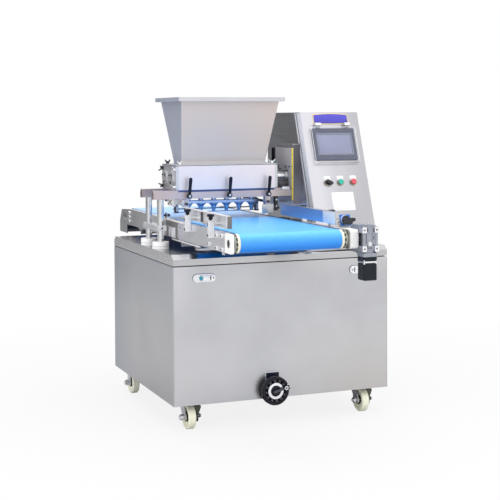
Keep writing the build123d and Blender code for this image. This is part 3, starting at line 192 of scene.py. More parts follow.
def brushed(name, colour, rough, change=0.08, grain=0.05, metal=1, painted_tints=()):
    """Sheet metal ground along X, or along Y where a face looks sideways."""
    material, tree, shader = graph(name)
    coords = node(tree, "TexCoord")
    sideways = reckon(tree, "ABSOLUTE", split(tree, coords.outputs["Normal"])["X"])
    sideways = reckon(tree, "GREATER_THAN", sideways, 0.7)
    along_x = stretched(tree, (5, 700, 700))
    along_y = stretched(tree, (700, 5, 700))
    lines = noise(tree, mixed(tree, sideways, along_x, along_y, "VECTOR"), 1, 2)
    cloud = noise(tree, stretched(tree), 3, 4)
    feed(tree, shader, Roughness=spread(tree, lines, rough - change, rough + change))
    skinned(tree, shader, cloud, colour, 0.07, painted_tints)
    settle(shader, Metallic=metal)
    soften(tree, shader, lines, grain, 0.0003)
    return material


def satin(name, colour, rough, metal=1, scale=900, change=0.06, shade=0.05, grain=0.08, coat=0,
          gloss=0.5, painted_tints=()):
    """Cast, turned or painted surface with a fine even grain."""
    material, tree, shader = graph(name)
    plain = stretched(tree)
    fine = noise(tree, plain, scale, 2)
    cloud = noise(tree, plain, 14, 4)
    feed(tree, shader, Roughness=spread(tree, cloud, rough - change, rough + change))
    skinned(tree, shader, cloud, colour, shade, painted_tints)
    settle(shader, Metallic=metal, Coat_Weight=coat, Specular_IOR_Level=gloss)
    soften(tree, shader, fine, grain, 0.0004)
    return material


def moulded(name, colour, rough, **more):
    """Plastic or paint: the satin surface without metal."""
    return satin(name, colour, rough, metal=0, **more)


steel_grey = (0.592, 0.594, 0.618)
looks_left = facing(left, 0.8, 0.95)
looks_front = facing(front, 0.8, 0.95)
rearward = placed(back, 0.25, 0.62)
low_half = placed(below, -0.42, -0.15)
high_half = placed(top, 0.4, 0.68)
top_edge = placed(top, 0.6, 0.71)
right_half = placed(right, -0.05, 0.3)
left_half = placed(left, 0.1, 0.45)
left_edge = placed(left, 0.36, 0.45)
tower_low = placed(below, -0.98, -0.92)
tower_fore = placed(front, 0.03, 0.05)
cross_member = placed(below, -0.763, -0.757)
cross_left = placed(left, 0.03, 0.06)
chamfer = facing((0, -0.7071, 0.7071), 0.9, 0.97)
deck_corner = placed(left, 0.305, 0.352)
deck_flat = facing(top, 0.95, 0.99)
deck_fore = placed(front, 0.22, 0.25)
belt_left = placed(right, -0.36, -0.3)
belt_right = placed(left, -0.1, -0.05)
hopper_overhang = facing(below, 0.08, 0.2)
hopper_front = facing(front, 0.6, 0.9)
hopper_high = placed(top, 1.075, 1.125)

steel = brushed("brushed_steel_sheet", steel_grey, 0.34)
# Painted light and shade on the cabinet: its left side lighter high up and along the top edge, darker low
# down and towards the back, bluish at the back; its front lighter on the lower left, upper right and near the
# left edge, darker on the lower right
cabinet_steel = brushed("cabinet_steel", steel_grey, 0.34, 0.04, grain=0.03, painted_tints=(
    ([looks_left, high_half], (0.66, 0.675, 0.72)),
    ([looks_left, low_half], (0.515, 0.512, 0.54)),
    ([looks_left, rearward], (0.5, 0.535, 0.6)),
    ([looks_left, rearward, low_half], (0.4, 0.415, 0.455)),
    ([looks_left, top_edge], (0.71, 0.735, 0.795)),
    ([looks_front, left_half, low_half], (0.665, 0.66, 0.68)),
    ([looks_front, right_half, low_half], (0.57, 0.553, 0.545)),
    ([looks_front, right_half, top_edge], (0.69, 0.675, 0.7)),
    ([looks_front, left_edge, high_half], (0.7, 0.7, 0.73)),
))
# Painted highlight: a pale bluish patch low on the front of the tower shell's left side
shell_steel = brushed("shell_steel", steel_grey, 0.34, painted_tints=(
    ([looks_left, tower_low, tower_fore], (0.82, 0.87, 1)),
))
# Painted light and shade: the tower front darker low down and towards the right, lighter towards the left
tower_steel = brushed("tower_steel", (0.592, 0.585, 0.622), 0.34, 0.04, grain=0.03, painted_tints=(
    ([placed(below, -1.02, -0.78)], (0.45, 0.452, 0.472)),
    ([placed(left, -0.33, -0.24)], (0.69, 0.682, 0.73)),
    ([placed(right, 0.35, 0.45)], (0.49, 0.485, 0.515)),
))
# Painted shade: the rails darker towards the back, and a dark blue line on the left of the cross member's
# front edge painted as shade with the belt's reflection
rail_steel = brushed("rail_steel", (0.74, 0.745, 0.78), 0.34, metal=0.75, painted_tints=(
    ([placed(back, 0.3, 0.56)], (0.46, 0.465, 0.49)),
    ([looks_front, cross_member, cross_left], (0.04, 0.075, 0.15)),
))
# Painted light and shade: a painted highlight on the left end of the front chamfer, the left face painted
# lighter, and a dark blue strip on the deck under the belt's front painted as its shadow with the belt's
# reflection
deck_steel = brushed("polished_deck", (0.6, 0.6, 0.615), 0.25, 0.03, painted_tints=(
    ([deck_corner, chamfer], (0.98, 0.98, 0.99)),
    ([looks_left], (0.77, 0.77, 0.81)),
    ([deck_flat, deck_fore, belt_left, belt_right], (0.04, 0.065, 0.13)),
))
# Painted light and shade: the upper front faces that lean down are tinted warm and light, the faces looking
# left darker and bluish
hopper_steel = brushed("hopper_steel", (0.625, 0.612, 0.63), 0.55, metal=0.45, painted_tints=(
    ([hopper_overhang, hopper_front, hopper_high], (0.704, 0.598, 0.537)),
    ([facing(left, 0.55, 0.85)], (0.46, 0.49, 0.6)),
))
# Painted reflection: the faces looking left are tinted blue, as the belt's reflection
guide_steel = brushed("guide_steel", steel_grey, 0.34, painted_tints=(
    ([facing(left, 0.6, 0.9)], (0.45, 0.58, 0.84)),
))
# Painted shade: the beam darker towards its right end
beam_steel = brushed("beam_steel", (0.68, 0.585, 0.605), 0.34, painted_tints=(
    ([placed(right, 0.05, 0.11)], (0.46, 0.42, 0.43)),
))
# Painted highlight: the rings bright silver above a set height on the slope, brownish below it
bezel_ring = satin("bezel_ring", (0.4, 0.32, 0.25), 0.28, metal=0.9, painted_tints=(
    ([placed(slope_up, 0.879, 0.887)], (0.86, 0.86, 0.88)),
))
# Dark grey of the sheets that paint shade on the lift rails, lighter low down
painted_rail_shade = satin("rail_front_grey", (0.13, 0.125, 0.13), 0.5, metal=0.3, grain=0.1, painted_tints=(
    ([placed(below, -1.04, -0.93)], (0.27, 0.265, 0.31)),
))
# Steel tinted blue: a painted reflection of the belt on the nozzles and their bar
duct_steel = satin("duct_steel", (0.6, 0.7, 0.9), 0.3, change=0.04, grain=0.02)
bright = satin("ground_bar", (0.93, 0.94, 0.98), 0.2, change=0.04, grain=0.02)
alloy = satin("machined_alloy", (0.92, 0.925, 0.97), 0.52, shade=0.03)
housing_alloy = satin("housing_alloy", (0.985, 0.91, 0.945), 0.52, shade=0.03)
plate_alloy = satin("plate_alloy", (0.5, 0.475, 0.485), 0.55, metal=0.35, shade=0.03)
olive = satin("olive_casting", (0.4, 0.41, 0.37), 0.42, scale=300, grain=0.5, shade=0.25)
post_alloy = satin("post_alloy", (0.86, 0.865, 0.9), 0.4, metal=0.5, shade=0.03)
end_alloy = satin("end_alloy", (0.76, 0.765, 0.8), 0.5, shade=0.04)
guide_alloy = satin("guide_light", (0.8, 0.81, 0.85), 0.45, metal=0.4, shade=0.03)
cast = satin("cast_alloy", (0.46, 0.49, 0.55), 0.42, scale=420, grain=0.25, shade=0.08)
zinc = satin("zinc_plate", (0.64, 0.66, 0.71), 0.34, metal=0.6, shade=0.1)
dark_steel = satin("dark_steel", (0.1, 0.105, 0.12), 0.35, shade=0.12)
gold = satin("gold_edge", (0.78, 0.6, 0.22), 0.35, metal=0.6)
pedal_olive = satin("pedal_olive", (0.095, 0.1, 0.07), 0.45, metal=0.2, grain=0.15)
hinge_grey = satin("hinge_grey", (0.26, 0.255, 0.28), 0.4, metal=0.2)
joint_grey = satin("joint_grey", (0.5, 0.5, 0.57), 0.4, metal=0.3, shade=0.04)
lid_light = satin("lid_light", (0.7, 0.7, 0.74), 0.5, metal=0.1, shade=0.03)
# Near-black: the base frame's dark paint, made darker so that it paints the shade in the gap under the deck
dark_paint_and_shade = moulded("dark_paint_and_shade", (0.07, 0.072, 0.078), 0.45, grain=0.15)
nylon = moulded("white_nylon", (0.9, 0.9, 0.9), 0.42, shade=0.03)
ivory = moulded("ivory_nylon", (0.9, 0.9, 0.72), 0.4, shade=0.04)
# The rear wheels' ivory, lighter than the front wheels' to lift the shade under the cabinet: painted light
ivory_painted_light = moulded("ivory_painted_light", (0.96, 0.96, 0.82), 0.4, shade=0.02)
cream = moulded("cream_ring", (0.83, 0.8, 0.66), 0.42, shade=0.03)
black = moulded("black_moulding", (0.016, 0.017, 0.02), 0.36, grain=0.2, shade=0.15)
deep_black = moulded("deep_black", (0.006, 0.008, 0.022), 0.34, grain=0.2, shade=0.15, gloss=0.22)
wheel_black = moulded("wheel_black", (0.01, 0.01, 0.016), 0.36, grain=0.2, shade=0.15, gloss=0.25)
motor_paint = moulded("motor_paint", (0.008, 0.012, 0.018), 0.42, grain=0.2, shade=0.15, gloss=0.28)
crank_grey = moulded("crank_grey", (0.058, 0.055, 0.075), 0.42, grain=0.15)
# Dark blue for the beam's step under the pump housing: painted shade with the belt's reflection
gap_shade_blue = moulded("gap_shade_blue", (0.045, 0.11, 0.33), 0.45, grain=0.1)
sheath = moulded("cable_sheath", (0.02, 0.02, 0.024), 0.5, grain=0.2)
bezel_grey = moulded("panel_bezel", (0.043, 0.053, 0.1), 0.45, grain=0.12)
end_grey = moulded("end_grey", (0.17, 0.16, 0.16), 0.5, grain=0.15)
green = moulded("green_button", (0.018, 0.41, 0.31), 0.28, coat=0.4)
red = moulded("red_button", (0.65, 0.068, 0.105), 0.28, coat=0.4)
teal = moulded("teal_button", (0.02, 0.34, 0.46), 0.28, coat=0.3)
blue_plate = moulded("blue_plate", (0.015, 0.16, 0.62), 0.35, coat=0.3)
badge_blue = moulded("badge_blue", (0.06, 0.05, 0.46), 0.35, coat=0.3)
white_plate = moulded("white_plate", (0.8, 0.8, 0.8), 0.45, shade=0.02)
frame_glass = moulded("panel_inner_frame", (0.15, 0.165, 0.24), 0.4, grain=0.05)
rim_clear = moulded("clear_edge", (0.62, 0.62, 0.68), 0.3, grain=0.05)

# Blue food belt with slight scuffs, paler far back as a painted reflection and deeper down on the roll as
# painted shade
belt, tree, shader = graph("belt_blue")
weave = noise(tree, stretched(tree, (900, 900, 900)), 1, 1)
scuff = noise(tree, stretched(tree, (60, 3, 60)), 1, 4)
skin = mixed(tree, spread(tree, scuff), (0.104, 0.452, 0.965), (0.124, 0.482, 0.99))
skin = mixed(tree, within(tree, [placed(back, -0.05, 0.3)]), skin, (0.28, 0.5, 0.95))
skin = mixed(tree, within(tree, [placed(below, -0.826, -0.772)]), skin, (0.004, 0.215, 0.78))
feed(tree, shader, Base_Color=skin, Roughness=spread(tree, scuff, 0.3, 0.4))
settle(shader, Specular_IOR_Level=0.36)
soften(tree, shader, weave, 0.06, 0.0003, 0.0006)

# Clear moulded plastic, thin enough to tint nothing
clear, tree, shader = graph("clear_moulding")
haze = noise(tree, stretched(tree), 40, 3)
feed(tree, shader, Roughness=spread(tree, haze, 0.03, 0.08))
settle(shader, Base_Color=(0.97, 0.98, 1, 1), Alpha=0.03, IOR=1.46)
soften(tree, shader, haze, 0.02, 0.0003)

# Switched-off display: dim blue-grey with a soft gradient
screen, tree, shader = graph("display_glass")
fade = noise(tree, stretched(tree, (3, 3, 6)), 1, 2)
skin = mixed(tree, spread(tree, fade), (0.165, 0.184, 0.3), (0.215, 0.238, 0.365))
feed(tree, shader, Base_Color=skin)
settle(shader, Roughness=0.22, Coat_Weight=0.6)

# Yellow rule with black marks each 10 mm and longer ones each 50 mm
rule_yellow, tree, shader = graph("yellow_rule")
rule_low, rule_high = 0.1493, 0.1557
place = split(tree, node(tree, "TexCoord").outputs["Object"])
marks = []
for pitch, width, reach in ((0.01, 0.0016, 0.45), (0.05, 0.0024, 0.9)):
    on = reckon(tree, "LESS_THAN", reckon(tree, "MODULO", place["Z"], pitch), width)
    near = reckon(tree, "LESS_THAN", place["X"], rule_low + (rule_high - rule_low) * reach)
    marks.append(reckon(tree, "MULTIPLY", on, near))
skin = mixed(tree, joined(tree, "MAXIMUM", marks), (0.86, 0.68, 0.02), (0.05, 0.04, 0.02))
fine = noise(tree, stretched(tree), 300, 2)
feed(tree, shader, Base_Color=skin, Roughness=spread(tree, fine, 0.35, 0.45))

# Cast case whose foot pads are machined bright in front
gear_case, tree, shader = graph("gear_case")
pad_front, pad_low = -0.7801, 0.746
plain = stretched(tree)
fine = noise(tree, plain, 420, 2)
cloud = noise(tree, plain, 30, 4)
place = split(tree, position(tree))
pad = reckon(tree, "LESS_THAN", place["Y"], pad_front)
above = reckon(tree, "GREATER_THAN", place["Z"], pad_low)
skin = mixed(tree, spread(tree, cloud), (0.33, 0.355, 0.415), (0.43, 0.455, 0.515))
skin = mixed(tree, reckon(tree, "MULTIPLY", pad, above), skin, (0.92, 0.92, 0.94))
feed(tree, shader, Base_Color=skin, Roughness=spread(tree, cloud, 0.36, 0.48))
settle(shader, Metallic=0.8)
soften(tree, shader, fine, 0.25, 0.0004, 0.0012)

# Black grip over a blue hub, parted by the height over the slope
isolator_skin, tree, shader = graph("isolator_grip")
hub_top = 0.48431
fine = noise(tree, stretched(tree), 900, 2)
over = reckon(tree, "GREATER_THAN", along(tree, position(tree), slope_out), hub_top)
skin = mixed(tree, over, (0.03, 0.13, 0.75), (0.012, 0.014, 0.019))
feed(tree, shader, Base_Color=skin, Roughness=spread(tree, fine, 0.34, 0.44))
soften(tree, shader, fine, 0.08, 0.0003)

# Light sheet with bright rods that are darker outside, parted by place
guide_sheet, tree, shader = graph("guide_sheet")
rod_ys, rod_z, rod_half = (-0.552, -0.276), 0.862, 0.0052
fine = noise(tree, stretched(tree, (1, 40, 40)), 60, 3)
place = split(tree, position(tree))
near = [reckon(tree, "COMPARE", place["Y"], middle, rod_half) for middle in rod_ys]
level = reckon(tree, "COMPARE", place["Z"], rod_z, rod_half)
rod = reckon(tree, "MULTIPLY", joined(tree, "MAXIMUM", near), level)
sheet = mixed(tree, spread(tree, fine), (0.8, 0.805, 0.84), (0.88, 0.885, 0.92))
rods = mixed(tree, within(tree, [placed(left, 0.414, 0.4146)]), (0.92, 0.92, 0.95), (0.4, 0.4, 0.42))
feed(tree, shader, Base_Color=mixed(tree, rod, sheet, rods), Roughness=spread(tree, fine, 0.3, 0.38))
settle(shader, Metallic=0.5)
soften(tree, shader, fine, 0.12, 0.0003)

# Which node has which material
finishes = (
    (dark_paint_and_shade, "base_frame"), (cabinet_steel, "cabinet_skin front_panel"), (deck_steel, "top_deck"),
    (zinc, "caster_mounts rear_caster_forks front_left_fork front_right_fork"),
    (nylon, "column_bushings drum_bearing_blocks feed_roller_front feed_roller_rear"),
    (rail_steel, "conveyor_rails"), (steel, "conveyor_bed"), (belt, "conveyor_belt"), (gear_case, "gearbox"),
    (motor_paint, "conveyor_motor"), (sheath, "motor_lead"), (post_alloy, "guide_posts door_latches"),
    (shell_steel, "tower_shell"), (tower_steel, "tower_front"), (bezel_grey, "hmi_panel"),
    (bezel_ring, "switch_bezels"), (cream, "drive_roller tail_roller"), (guide_sheet, "left_guide"),
    (guide_steel, "right_guide"),
    (black, "left_front_knob left_rear_knob right_front_knob right_rear_knob selector_knob"),
    (ivory, "front_left_wheel front_right_wheel"), (ivory_painted_light, "rear_left_wheel rear_right_wheel"),
    (pedal_olive, "front_left_brake_pedal front_right_brake_pedal"), (wheel_black, "handwheel"),
    (crank_grey, "crank_handle"), (clear, "hmi_cover"), (green, "start_button"), (red, "stop_button"),
    (isolator_skin, "isolator_handle"), (teal, "left_latch_button right_latch_button"),
    (bright, "head_columns"), (alloy, "column_link"), (beam_steel, "head_frame"),
    (housing_alloy, "pump_housing"), (end_alloy, "end_plates"), (hopper_steel, "hopper"),
    (duct_steel, "nozzle_bar nozzles"), (cast, "feed_motor"),
    (deep_black, "clamp_lever_left clamp_lever_middle clamp_lever_right"), (dark_steel, "wire_cutter"),
)
for finish, names in finishes:
    for name in names.split():
        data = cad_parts[name].data
        data.materials.clear()
        data.materials.append(finish)


# Mesh parts in millimetres, each a list of points and a list of faces
millimetre, sharp_angle = 0.001, radians(32)


def turns(count, start=0):
    """Angles round a full circle."""
    return [2 * pi * step / count + start for step in range(count)]


def ring(radius, height, count, corners=0):
    """A ring of points, or a polygon with so many corners and that half width."""
    points = []
    for turn in turns(count):
        reach = radius
        if corners:
            step = 2 * pi / corners
            reach = radius / cos((turn + step / 2) % step - step / 2)
        points.append((reach * cos(turn), reach * sin(turn), height))
    return points


def turned(profile, count=24):
    """A part turned about Z from rows of radius, height and, for a polygon, its corners."""
    points, faces, last = [], [], None
    for row in profile:
        if row[0] == 0:
            points.append((0, 0, row[1]))
            now = [len(points) - 1] * count
        else:
            now = list(range(len(points), len(points) + count))
            points += ring(row[0], row[1], count, *row[2:])
        if last:
            for index in range(count):
                after = (index + 1) % count
                face = list(dict.fromkeys((last[index], last[after], now[after], now[index])))
                if len(face) > 2:
                    faces.append(face)
        last = now
    return points, faces


def shrunk(outline, inset, least=0.3):
    """The outline moved inwards, less far at sharp corners."""
    made = []
    for index, here in enumerate(outline):
        here = Vector(here)
        into = (here - Vector(outline[index - 1])).normalized()
        out = (Vector(outline[(index + 1) % len(outline)]) - here).normalized()
        side = Vector((-into.y, into.x))
        middle = (side + Vector((-out.y, out.x))).normalized()
        made.append(here + middle * (inset / max(least, middle.dot(side))))
    return made


def slab(outline, low, high, edge=0):
    """A plate from an outline, with its upper edge bevelled."""
    rows = [(outline, low), (outline, high - edge)]
    if edge:
        rows.append((shrunk(outline, edge * 0.35), high - edge * 0.3))
        rows.append((shrunk(outline, edge), high))
    count = len(outline)
    points = [(point[0], point[1], height) for row, height in rows for point in row]
    faces = [list(range(count))[::-1], list(range(len(points) - count, len(points)))]
    for here in range(0, len(points) - count, count):
        for index in range(count):
            after = (index + 1) % count
            faces.append([here + index, here + after, here + count + after, here + count + index])
    return points, faces


def rounded(width, height, radius, steps=5):
    """Outline of a rectangle with round corners."""
    points = []
    for sx, sy, start in ((1, 1, 0), (-1, 1, 0.5), (-1, -1, 1), (1, -1, 1.5)):
        for index in range(steps + 1):
            turn = (start + 0.5 * index / steps) * pi
            points.append((sx * (width / 2 - radius) + radius * cos(turn),
                           sy * (height / 2 - radius) + radius * sin(turn)))
    return points


def flat(width, height, radius, thick, edge=0, steps=5):
    """A plate with round corners and a bevelled edge."""
    return slab(rounded(width, height, radius, steps), 0, thick, edge)


def pin(radius, length, count):
    """A plain round bar."""
    return turned([(0, 0), (radius, 0), (radius, length), (0, length)], count)


def socket_screw(radius, height):
    """Cylinder-head screw with a hexagon socket."""
    return turned([(radius, 0), (radius, height - 0.8), (radius - 0.8, height), (radius * 0.52, height, 6),
                   (radius * 0.52, height * 0.45, 6), (0, height * 0.4)])


def button_screw(radius, height):
    """Button-head screw with a hexagon socket."""
    return turned([(radius, 0), (radius * 0.93, height * 0.45), (radius * 0.72, height * 0.85),
                   (radius * 0.45, height, 6), (radius * 0.45, height * 0.3, 6), (0, height * 0.25)])


def hex_bolt(half, height):
    """Hexagon head on a washer."""
    return turned([(half * 1.45, 0), (half * 1.45, 1.4), (half * 1.02, 1.5), (half, 1.6, 6),
                   (half, height - 0.9, 6), (half * 0.93, height), (0, height + 0.2)])


# Places in the model, in millimetres
line_x, drum_y, z_axis, rail_top = -147, -710, 797.5, 835
web_out, flange_out, foot_out, post_out, knob_out = 243, 231, 121, 267, 255
left_web, beam_y, guide_z = -390, -345, 872.5
post_ys = (-552, -276)
column_x, column_ys = -443, (-44, 122)
roller_ys, roller_z = (-5.5, 83.5), 1010.5
head_left, head_right, cap_left, cap_right = -378, 84, -386, 92
bar_x, block_x, guard_x = -349.8, -363.8, 80
plate_x, plate_face_x, lift_rail_x = 149, 148.2, 177.2
tower_x, tower_foot_y, deck_z = 333.5, -248, 717.5
tower_sides = ((195, left), (472, right))
panel_across, panel_rise, cover_rise = 3.5, 452, 447
motor_x, motor_y, gear_front = 163, -750, -777
hand_x, hand_z = -54, 148
axle_z, rear_axle_y = 50, 465
casters = (("front_left", -390, -244), ("front_right", 390, -244),
           ("rear_left", -420, rear_axle_y), ("rear_right", 420, rear_axle_y))
lean = atan2(199, 568)
face_normal = (0, -cos(lean), sin(lean))
face_up = (0, sin(lean), cos(lean))


def moved(x, y=0, z=0):
    return Matrix.Translation((x, y, z))


def spun(angle, axis="Z"):
    return Matrix.Rotation(angle, 4, axis)


def at(origin, normal, up=top):
    """A place: local Z along the normal, local Y near up."""
    out = Vector(normal).normalized()
    if abs(out.dot(Vector(up))) > 0.99:
        up = back
    across = Vector(up).cross(out).normalized()
    return Matrix.Translation(origin) @ Matrix((across, out.cross(across), out)).transposed().to_4x4()


def spots(xs, ys, zs, normal):
    """Places at the points of a grid, each axis given by one number or several."""
    axes = [(axis,) if isinstance(axis, (int, float)) else axis for axis in (xs, ys, zs)]
    return [at(point, normal) for point in product(*axes)]


def both(out):
    """Places across, on both sides of the conveyor."""
    return line_x - out, line_x + out


def paired(out, ys, zs):
    """Places on both sides of the conveyor that look outwards."""
    return spots(line_x - out, ys, zs, left) + spots(line_x + out, ys, zs, right)


def on_face(across, rise, out=0):
    """A place on the tower's sloping front."""
    y = tower_foot_y + rise * face_up[1] + out * face_normal[1]
    z = deck_z + rise * face_up[2] + out * face_normal[2]
    return at((tower_x + across, y, z), face_normal, face_up)


def linked(name, data):
    """A new object in the scene."""
    made = bpy.data.objects.new(name, data)
    bpy.context.collection.objects.link(made)
    return made


def piece(name, materials, rows, body="machine"):
    """One piece from rows of a part, its places and, where it isn't the first, the material's number."""
    points, faces, numbers = [], [], []
    for part, places, *number in rows:
        if isinstance(places, tuple):
            places = spots(*places)
        for place in places if isinstance(places, list) else [places]:
            start = len(points)
            points += [place @ Vector(point) for point in part[0]]
            faces += [[start + index for index in face] for face in part[1]]
            numbers += (number or [0]) * len(part[1])
    mesh = bpy.data.meshes.new(name)
    mesh.from_pydata([point * millimetre for point in points], [], faces)
    for material in materials:
        mesh.materials.append(material)
    for face, number in zip(mesh.polygons, numbers):
        face.material_index = number
    work = bmesh.new()
    work.from_mesh(mesh)
    bmesh.ops.recalc_face_normals(work, faces=work.faces)
    work.to_mesh(mesh)
    work.free()
    mesh.shade_smooth()
    mesh.set_sharp_from_angle(angle=sharp_angle)
    made = linked(name, mesh)
    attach(made, body)
    return made


# Screws of the rails, flanges, feet and guide posts
rail_screws = ((-592, 819), (-648, 822), (-506, 779), (-590, 771), (-650, 771),
               (606, 820), (606, 801), (606, 781))
rail_spots = [spot for y, z in rail_screws for spot in paired(web_out, y, z)]
piece("conveyor_screws", [bright, dark_steel, white_plate], [
    (turned([(7.4, 0), (7.4, 6.2), (6.6, 7), (4.8, 7)], 28), rail_spots, 2),
    (turned([(4.9, 6.6), (4.7, 7.3), (3, 7.3, 6), (3, 5.6, 6), (0, 5.5)]), rail_spots, 1),
    (button_screw(4.2, 2.2), (both(flange_out), (-610, -430, -200, 40, 280, 500), rail_top, top)),
    (hex_bolt(6, 5.5), (both(foot_out), (-167, -131, 423, 459), 723.5, top)),
    (button_screw(5.2, 2), paired(post_out, post_ys, 816), 1),
    (button_screw(3.8, 2), paired(post_out, post_ys, 854), 1),
])

# Rail lips, take-up covers, cross beam, a dark strip painted as shade on the right rail's top, and grey rings
# painted as the shade of grooves on the bushings
lip = ((-5, 0), (2.5, 0), (2.5, 6), (-0.5, 6), (-0.5, 4), (-5, 4))
covers = paired(web_out, 686, z_axis)
rows = []
for side in (-1, 1):
    profile = [(side * across, rise) for across, rise in lip][::side]
    rows.append((slab(profile, 0, 350), (line_x + side * 241, -35, 752, front), 2))
piece("rail_lips", [steel, dark_steel, lid_light, joint_grey], rows + [
    (flat(58, 30, 4, 1.5, 0.5), covers),
    (button_screw(3.2, 1.8), [cover @ moved(step, 0, 1.5) for cover in covers for step in (-24, 24)], 1),
    (flat(30, 20, 1, 5, 0.8), paired(237.5, beam_y, 747)),
    (flat(30, 10, 1.2, 324), (-386, beam_y, 742, right)),
    (flat(30, 10, 1.2, 108), (-16, beam_y, 742, right)),
    (flat(24, 226, 1, 0.6, 0.2), (82, -208, rail_top, top), 1),
    (turned([(34.9, 0), (35.2, 0.2), (35.2, 1.6), (34.9, 1.8)], 64), (-442.79, column_ys, 727, top), 3),
])

# Joint of the left rail beside the columns, with a dark grey strip painted as the shade under the rail's top
# edge and a white strip as a painted highlight along that edge, and the tie under the tail
piece("rail_joint", [end_grey, lid_light, joint_grey, white_plate], [
    (flat(166, 23, 1.5, 0.5, 0.2), (left_web, -35, 817.5, left)),
    (flat(34, 46, 1.5, 0.5, 0.2), (left_web, 28, 782, left)),
    (flat(34, 48, 1.5, 0.5, 0.2), (left_web, -100, 781, left)),
    (flat(25, 40, 2, 3, 0.8), (left_web, (-66, -38, -10), 783, left), 1),
    (flat(55, 54, 2, 2, 0.5), (left_web, -145, 794, left), 2),
    (button_screw(4.4, 2), (left_web - 2, -152, 812, left)),
    (flat(350, 5.4, 0.8, 0.8, 0.2, 2), (left_web, -87, 832.2, left), 3),
])
tie = turned([(0, 0), (17, 0), (17, 6), (19, 6.5), (19, 473), (17, 473.5), (17, 479.5), (0, 479.5)], 40)
piece("tail_tie", [dark_steel], [(tie, (-386.8, 692, 740, right))])

# Drive drum: notched castings, the shaft's end kept dark, shoe, and a black ring: the dark end and the ring
# paint the shade in the bearing's bore
drum_ends = paired(217.5, drum_y, z_axis)
notches = [end @ spun(turn) @ moved(36.95, 0, 3.2) @ spun(pi / 2, "Y")
           for end in drum_ends for turn in turns(12)]
piece("drum_castings", [olive, black, dark_steel], [
    (turned([(36.4, 0), (36.9, 0.3), (36.9, 13.2), (36.2, 14.1), (30, 14.1)], 64), drum_ends),
    (slab(rounded(6.4, 11, 2, 3), -0.4, 0.15), notches, 1),
    (turned([(0, 0), (9.9, 0), (9.9, 0.4), (9, 0.9), (3, 0.9), (2, 0.2), (0, 0.2)], 40),
     (line_x - 241, drum_y, z_axis, left), 2),
], "drive_roller")
shoe = flat(72.7, 73.7, 12.3, 7, 0.5)
piece("drum_block_shoe", [olive], [(shoe, (86.2, drum_y, z_axis, right))])
piece("drum_bore_shade", [deep_black], [
    (turned([(10.4, 0), (10.4, 1.6), (11.6, 2), (12.2, 1.2), (13.6, 1.2), (14.2, 2), (15.7, 2),
             (15.7, 0)], 48), (-386, drum_y, z_axis, left)),
])

# Tray sensor on a bracket
eye = (-389, 50, 848, right)
piece("tray_sensor", [black, bright], [
    (flat(20, 34, 3, 2, 0.5), (-381, 50, rail_top, top), 1),
    (flat(26, 24, 3, 2, 0.5), eye, 1),
    (turned([(0, -14), (4, -14), (4.6, -12), (4.6, -2), (8, -2, 6), (8, 2.5, 6), (6, 2.6), (6, 16), (5.2, 17),
             (0, 17)]), eye),
])

# Gearbox and motor, the case's slots as x, z, width and height
case_slots = ((150.5, 833.5, 5, 13), (176, 836, 9, 4), (177, 828, 6.5, 6), (177, 804, 3, 14),
              (176, 776, 7, 5), (150.5, 772, 3, 9), (145.5, 803, 2.6, 44), (170.5, 806, 2, 34),
              (160, 766, 22, 1.8), (160, 762, 22, 1.8))
rows = []
for x, z, width, height in case_slots:
    rows.append((flat(width, height, min(width, height) * 0.4, 0.4, 0.1, 3), (x, gear_front, z, front), 1))
# The slots are dark patches that paint the shade in them, and the ribs and the plate on the case's left face
# are dark as painted shade on that side
piece("gearbox_ribs", [gear_case, dark_steel], rows + [
    (flat(11, 54, 2, 7, 1.2), ((137, 189), -772, z_axis, front)),
    (flat(66, 4, 1.2, 6, 1, 2), (133, -716, range(768, 829, 10), left), 1),
    (turned([(23, 0), (23, 2.4), (22, 3.2), (16, 3.2), (15, 2.2), (0, 2.2)], 48),
     (motor_x, motor_y, 850, top)),
    (turned([(30, 0), (30, 2.5), (28.5, 3.5), (13, 3.5), (12, 2), (10.5, 2)], 48),
     (198, drum_y, z_axis, right)),
    (flat(40, 62, 6, 0.6, 0.2), (134, -752, z_axis, left), 1),
])
on_cover = [at((201.5, drum_y + 22.5 * cos(turn), z_axis + 22.5 * sin(turn)), right)
            for turn in turns(6, 0.3)]
on_motor = [at((motor_x + 19 * cos(turn), motor_y + 19 * sin(turn), 853), top) for turn in turns(4, pi / 4)]
piece("gearbox_fittings", [bright], [
    (turned([(8, 0), (8, 1), (6.4, 1.2, 6), (6.4, 3, 6), (5.8, 3.5), (3, 3.5, 6), (3, 1.6, 6), (0, 1.5)]),
     (161, gear_front, 780, front)),
    (socket_screw(3.4, 3.2), on_cover),
    (socket_screw(2.6, 2.4), on_motor),
    (pin(3.6, 16, 18), ((motor_x - 25, motor_x + 25), (motor_y - 25, motor_y + 25), 703, top)),
    (flat(61.2, 61.2, 10, 6, 0.8), (motor_x, motor_y, 708, top)),
])

# Latches, as part, shift and material
latch_parts = ((turned([(13, 0), (12.6, 1.6), (11.6, 2.4), (9.6, 2.4), (9, 1.4), (9, 0)], 40), 0, 0),
               (flat(27, 20, 4, 3, 1.2), 24.5, 0), (slab(rounded(17, 10, 3), 3, 3.9, 0.8), 24.5, 0),
               (flat(3.4, 20, 1.2, 0.4, 0.1), 40.5, 1), (flat(15, 26, 7, 3, 1.2), 51, 0),
               (slab(rounded(3, 10, 1.4), 3, 3.5, 0.3), 51.5, 1))
rows = []
for start, way in ((-396, 1), (396, -1)):
    face = at((start + way * 34, -324, 622), front)
    rows += [(part, face @ moved(way * shift), number) for part, shift, number in latch_parts]
    # A dark plate a little larger than the latch, set off up and to the left, paints the shade round it
    rows.append((flat(98, 34, 16.9, 1.4, 0.6), (start + way * 48 - 0.7, -319, 622.7, front), 1))
piece("latch_details", [bright, dark_steel], rows)

